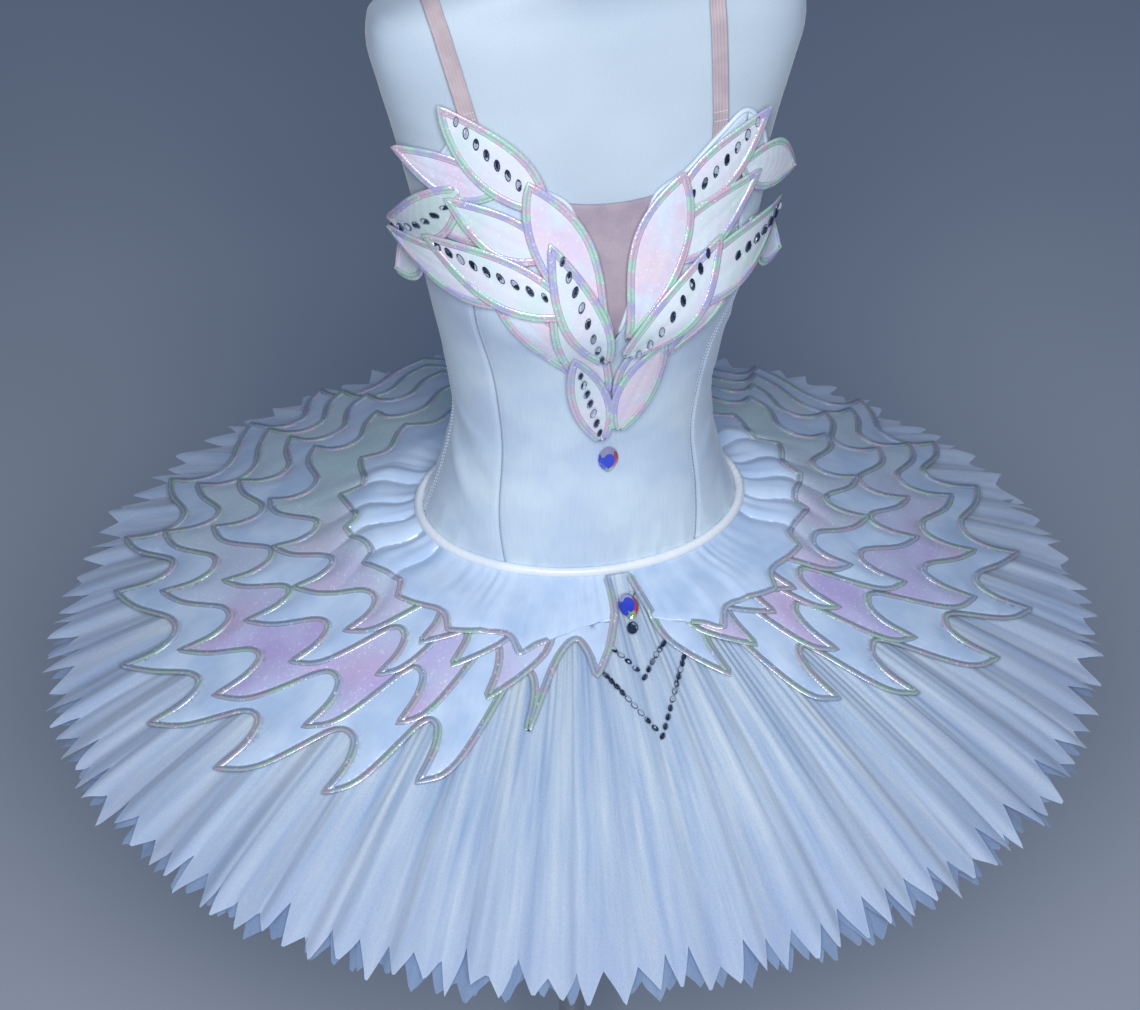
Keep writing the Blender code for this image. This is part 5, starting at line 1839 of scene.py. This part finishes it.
@dataclass(frozen=True)
class Feathers:
    """Corded feather appliques on the bust, some with a row of oval stones."""
    leaves: tuple = (
        Leaf("r_top", (-19, 0.348), (-41, 0.429), 0.032, 0.004, (1.2, 2.0), stones=(0.16, 0.88)),
        Leaf("r_shoulder", (-31, 0.362), (-64, 0.386), 0.03, 0.004, (0.0, 0.8), 0.005, PEARL_PINK),
        Leaf("r_wing", (-43, 0.362), (-87, 0.303), 0.029, 0.01, (1.6, 2.6), 0.009, PEARL_GREY, (0.2, 0.9)),
        Leaf("r_under", (-24, 0.334), (-70, 0.33), 0.022, 0.003, (0.0, 0.3)),
        Leaf("r_mid", (-19, 0.314), (-47, 0.353), 0.029, 0.004, (1.4, 3.0)),
        Leaf("r_long", (-17, 0.291), (-81, 0.303), 0.03, 0.006, (1.7, 4.6), 0.008),
        Leaf("r_jewelled", (-13, 0.272), (-59, 0.316), 0.031, -0.003, (3.5, 5.2), stones=(0.2, 0.9)),
        Leaf("r_neck", (-3, 0.238), (-22, 0.371), 0.032, 0.001, (2.2, 3.4), 0.0, PEARL_PINK, belly=1.4),
        Leaf("r_inner", (-2.5, 0.214), (-18, 0.326), 0.024, 0.002, (3.4, 5.2), stones=(0.14, 0.86)),
        Leaf("r_pale", (-6, 0.188), (-41, 0.294), 0.026, -0.005, (0.4, 0.7), 0.0, PEARL_PINK),
        Leaf("r_low", (-1.5, 0.174), (-19, 0.279), 0.025, 0.002, (1.6, 2.5)),
        Leaf("r_point", (-1.8, 0.126), (-13, 0.223), 0.026, 0.001, (2.6, 3.6), stones=(0.14, 0.86)),
        Leaf("r_side", (-64, 0.318), (-87, 0.254), 0.034, -0.003, (0.0, 1.0), 0.017, PEARL_GREY, belly=1.7),
        Leaf("l_top", (18, 0.338), (44, 0.402), 0.03, -0.004, (1.5, 2.2), stones=(0.18, 0.9)),
        Leaf("l_upper", (16, 0.324), (43, 0.38), 0.024, -0.003, (0.1, 0.7)),
        Leaf("l_wing", (40, 0.36), (73, 0.331), 0.03, 0.002, (0.8, 2.0), 0.012),
        Leaf("l_mid", (13, 0.304), (46, 0.352), 0.03, -0.004, (1.3, 2.8)),
        Leaf("l_jewelled", (11, 0.27), (70, 0.308), 0.033, 0.004, (3.8, 5.2), stones=(0.46, 0.93)),
        Leaf("l_neck", (2.6, 0.238), (19, 0.368), 0.032, -0.001, (2.2, 3.4), 0.0, PEARL_PINK, belly=1.4),
        Leaf("l_inner", (2.4, 0.222), (30, 0.316), 0.027, -0.003, (4.4, 6.0), stones=(0.14, 0.86)),
        Leaf("l_pale", (4, 0.186), (42, 0.284), 0.027, 0.004, (0.6, 0.9), 0.0, PEARL_PINK),
        Leaf("l_low", (2.6, 0.168), (22, 0.266), 0.025, 0.002, (1.8, 2.7)),
        Leaf("l_point", (3.2, 0.136), (14.7, 0.233), 0.028, -0.002, (2.9, 3.8), 0.0, PEARL_PINK),
        Leaf("l_side", (50, 0.308), (74, 0.256), 0.034, 0.002, (0.0, 1.0), 0.02, PEARL_GREY, belly=1.7))
    first_lift: float = 0.0036
    lift_step: float = 0.0023
    wall: float = 0.0012
    dome: float = 0.0011
    spine: float = 0.0006  # depth of the crease along the middle
    barb: float = 0.0003  # rise of the fine ribs to its sides
    cord_width: float = 0.0064
    cord_height: float = 0.0029
    cord_lift: float = 0.0006  # of its middle line over the cloth
    stone_pitch: float = 0.0122
    stone_long: float = 0.009
    stone_wide: float = 0.004
    stone_deep: float = 0.0032
    stone_lean: float = radians(29)

    @staticmethod
    def half_width(leaf: Leaf, share: float) -> float:
        """Half width of a leaf along its middle line: full near the middle, sharp at the tip."""
        return 0.6 * leaf.width * max(0.0, sin(pi * share ** leaf.belly)) ** 0.85

    @staticmethod
    def flat(leaf: Leaf, share: float, across: float) -> Vector:
        """Flat place on a leaf: distance round the bust, and height."""
        radius = FIGURE.flat_radius
        base = Vector((radians(leaf.base[0]) * radius, leaf.base[1]))
        along = Vector((radians(leaf.tip[0]) * radius, leaf.tip[1])) - base
        sideways = Vector((-along.y, along.x)).normalized()
        return base + along * share + sideways * (leaf.bend * 4.0 * share * (1.0 - share) + across)

    def lift(self, leaf: Leaf, share: float) -> float:
        """Height of a leaf's upper face over the figure."""
        level = leaf.levels[0] + (leaf.levels[1] - leaf.levels[0]) * share
        return self.first_lift + self.lift_step * level + leaf.flare * share ** 3 + self.wall

    def point(self, leaf: Leaf, share: float, across: float, out: float = 0.0) -> Vector:
        """Point over a leaf at a share of its length and a distance from its middle line."""
        spot = self.flat(leaf, share, across)
        return FIGURE.point(spot.x / FIGURE.flat_radius, spot.y, self.lift(leaf, share) + out)

    def build_leaf(self, leaf: Leaf) -> None:
        """Build a leaf with its cord.

        Args:
            leaf: The leaf.
        """
        def place(u: float, v: float) -> Vector:
            """Point on the leaf, domed between its edges and creased along its spine."""
            across = (2.0 * v - 1.0) * self.half_width(leaf, u)
            crown = self.dome * (1.0 - (2.0 * v - 1.0) ** 2) * sin(pi * u)
            crease = self.spine * bell(across, 0.0012) * sin(pi * u)
            barb = self.barb * sin(60.0 * u + 9.0 * abs(2.0 * v - 1.0)) * sin(pi * u)
            return self.point(leaf, u, across, crown - crease + barb)

        shape = Shape().surface(30, 12, place, (0.11, leaf.width), weld=True)
        node = f"feather_{leaf.place}"
        cloth = shape.piece(f"{node}_cloth", leaf.finish, [node], wall=self.wall, out=away_from_axis)
        cord = self.build_cord(leaf)
        length = (self.point(leaf, 1.0, 0.0) - self.point(leaf, 0.0, 0.0)).length
        # the fullest part is 1.2 times the nominal width, and the bow and the dome add to the length
        flat = (1.2 * leaf.width, 1.04 * length)
        max(shape.area, 0.3 * flat[0] * flat[1])

    def build_cord(self, leaf: Leaf) -> bpy.types.Object:
        """Sew the doubled cord along a leaf's edge, from the base round the tip and back.

        Args:
            leaf: The leaf.
        Returns:
            The cord.
        """
        steps = 34
        path, ups = [], []
        for side in (1, -1):
            for step in range(steps + 1):
                share = (0.02 + 0.98 * step / steps) if side == 1 else (1.0 - 0.98 * (step + 1) / (steps + 1))
                across = side * max(self.half_width(leaf, share) - 0.001, 0.0)
                spot = self.flat(leaf, share, across)
                path.append(self.point(leaf, share, across, self.cord_lift))
                ups.append(FIGURE.normal(spot.x / FIGURE.flat_radius, spot.y))
        return Shape().tube(path, ups, self.cord_width, self.cord_height, 12, groove=0.55).piece(
            f"feather_{leaf.place}_cord", BUST_CORD)

    def build_stones(self) -> None:
        """Set the rows of oval stones, each in a metal cup."""
        stones, cups = Shape(), Shape()
        for number, leaf in enumerate(leaf for leaf in self.leaves if leaf.stones[1]):
            first, last = leaf.stones
            length = (self.point(leaf, last, 0.0) - self.point(leaf, first, 0.0)).length
            count = round(length / self.stone_pitch)
            for index in range(count + 1):
                share = first + (last - first) * index / count
                here, ahead = self.flat(leaf, share, 0.0), self.flat(leaf, share + 0.02, 0.0)
                heading = atan2(ahead.y - here.y, ahead.x - here.x)
                lean = self.stone_lean * (-1 if here.x < 0 else 1) + 0.12 * scatter(index, number)
                spot = Spot.on(FIGURE.point, here.x / FIGURE.flat_radius, here.y)
                lift = self.lift(leaf, share) + self.dome * sin(pi * share)
                small = 0.86 if index in (0, count) else 1.0
                stones.cut_stone(spot.matrix(small * self.stone_long, small * self.stone_wide, self.stone_deep,
                                             lift + 0.5 * self.stone_deep, heading + lean))
                cups.cup(spot.matrix(1.14 * small * self.stone_long, 1.18 * small * self.stone_wide,
                                     0.5 * self.stone_deep, lift + 0.2 * self.stone_deep, heading + lean))
        stones.piece("feather_stones", DARK_STONE, flat_faces=True)
        cups.piece("feather_stone_settings", SETTING)

    def build(self) -> None:
        """Build every feather and the stones."""
        for leaf in self.leaves:
            self.build_leaf(leaf)
        self.build_stones()


@dataclass(frozen=True)
class Crystals:
    """Pear crystals at the waist and on the skirt, and the small stones under them."""
    length: float = 0.0255
    width: float = 0.0172
    depth: float = 0.005
    sides: int = 16
    # half outline share, height share, half a facet of turn
    profile: tuple = ((0.0, 0.0, 0), (0.8, 0.0, 0), (1.0, 0.42, 0), (0.99, 0.52, 0), (0.8, 0.8, 1), (0.58, 1.0, 0),
                      (0.0, 1.0, 0))
    waist: tuple = (1.0, 0.104, 0.0052)  # angle in degrees, height, lift
    skirt: tuple = (4.0, 0.085, 0.0052)  # angle in degrees, share of the run, lift
    chevrons: tuple = (((-2.2, 0.19), (2.9, 0.27), (9.4, 0.195)), ((-5.7, 0.24), (3.1, 0.42), (12.5, 0.24)))
    chevron_pitch: float = 0.0078
    chevron_stone: Row = (0.0062, 0.0036)  # length and width
    # angle in degrees, share of the run, length, width and heading in radians
    single_stones: tuple = ((3.4, 0.14, 0.011, 0.008, 1.2), (6.2, 0.052, 0.0045, 0.0045, 0.0))
    small_depth: float = 0.0028
    cup_depth: float = 0.0016
    net_lift: float = 0.005

    @staticmethod
    def skirt_spot(angle: float, share: float) -> Spot:
        """Spot on the skirt at an angle in degrees; the share runs downwards, so it is turned over."""
        spot = Spot.on(SKIRT.point, radians(angle), share)
        return Spot(spot.origin, spot.right, -spot.up, -spot.out)

    def build_pear(self, name: str, spot: Spot, lift: float, node: str) -> None:
        """Build one pear-cut crystal, point down, with kite facets on its crown.

        Args:
            name: Name of the piece.
            spot: Where it sits.
            lift: Distance of its back from the surface.
            node: CAD node that it replaces.
        """
        def place(u: float, v: float) -> Vector:
            """Point on the crystal."""
            reach, rise, turned = self.profile[round(v * (len(self.profile) - 1))]
            turn = tau * (u + 0.5 * turned / self.sides)
            narrow = 1.0 - 0.5 * max(0.0, cos(turn)) ** 2
            across = 0.5 * self.width * sin(turn) * narrow * reach
            along = -0.5 * self.length * cos(turn) * reach
            return spot.origin + spot.right * across + spot.up * along + spot.out * (lift + self.depth * rise)

        Shape().surface(self.sides, len(self.profile) - 1, place, (RAINBOW_STONE.cell, 0.02), weld=True).piece(
            name, RAINBOW_STONE, [node], flat_faces=True)

    def build_small(self) -> None:
        """Set the small stones on the front of the skirt."""
        stones, cups = Shape(), Shape()

        def set_stone(angle: float, share: float, long: float, wide: float, heading: float) -> None:
            """Set one stone in its cup."""
            spot = self.skirt_spot(angle, share)
            stones.cut_stone(spot.matrix(long, wide, self.small_depth, self.net_lift + self.cup_depth, heading), 8)
            cups.cup(spot.matrix(1.16 * long, 1.2 * wide, self.cup_depth, self.net_lift, heading))

        for stone in self.single_stones:
            set_stone(*stone)
        for number, corners in enumerate(self.chevrons):
            for first, second in zip(corners, corners[1:]):
                ends = [SKIRT.point(radians(angle), share) for angle, share in (first, second)]
                run = ends[1] - ends[0]
                count = round(run.length / self.chevron_pitch)
                heading = atan2(run.y, run.x)
                for index in range(count + (second is corners[-1])):
                    step = index / count
                    sway = 0.006 * sin(pi * step)
                    set_stone(first[0] + (second[0] - first[0]) * step,
                              first[1] + (second[1] - first[1]) * step - sway * (1 + number),
                              *self.chevron_stone, heading + 0.25 * scatter(index, 51.0 + number))
        stones.piece("skirt_stones", DARK_STONE, flat_faces=True)
        cups.piece("skirt_stone_settings", SETTING)

    def build(self) -> None:
        """Build the two pears and the small stones."""
        angle, height, lift = self.waist
        self.build_pear("waist_crystal", Spot.on(FIGURE.point, radians(angle), height), lift, "jewel_waist")
        angle, share, lift = self.skirt
        self.build_pear("skirt_crystal", self.skirt_spot(angle, share), lift, "jewel_skirt")
        self.build_small()


# ---- the whole object
def write_sizes() -> None:
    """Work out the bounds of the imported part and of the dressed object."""
    boxes = {"packed": CAD_BOX, "dressed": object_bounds()}
    {name: [list(corner) for corner in box] for name, box in boxes.items()}


def main() -> None:
    """Build every sub-assembly and the studio."""
    logging.basicConfig(level=logging.INFO, format="%(relativeCreated)7.0f %(message)s")
    for assembly in (DressForm(), BODICE, Straps(), HipPiping(), Brief(), Skirt(), Plate(), Feathers(), Crystals(),
                     Studio()):
        LOG.info("building: %s", type(assembly).__name__)
        assembly.build()
    write_sizes()


if __name__ == "__main__":
    main()
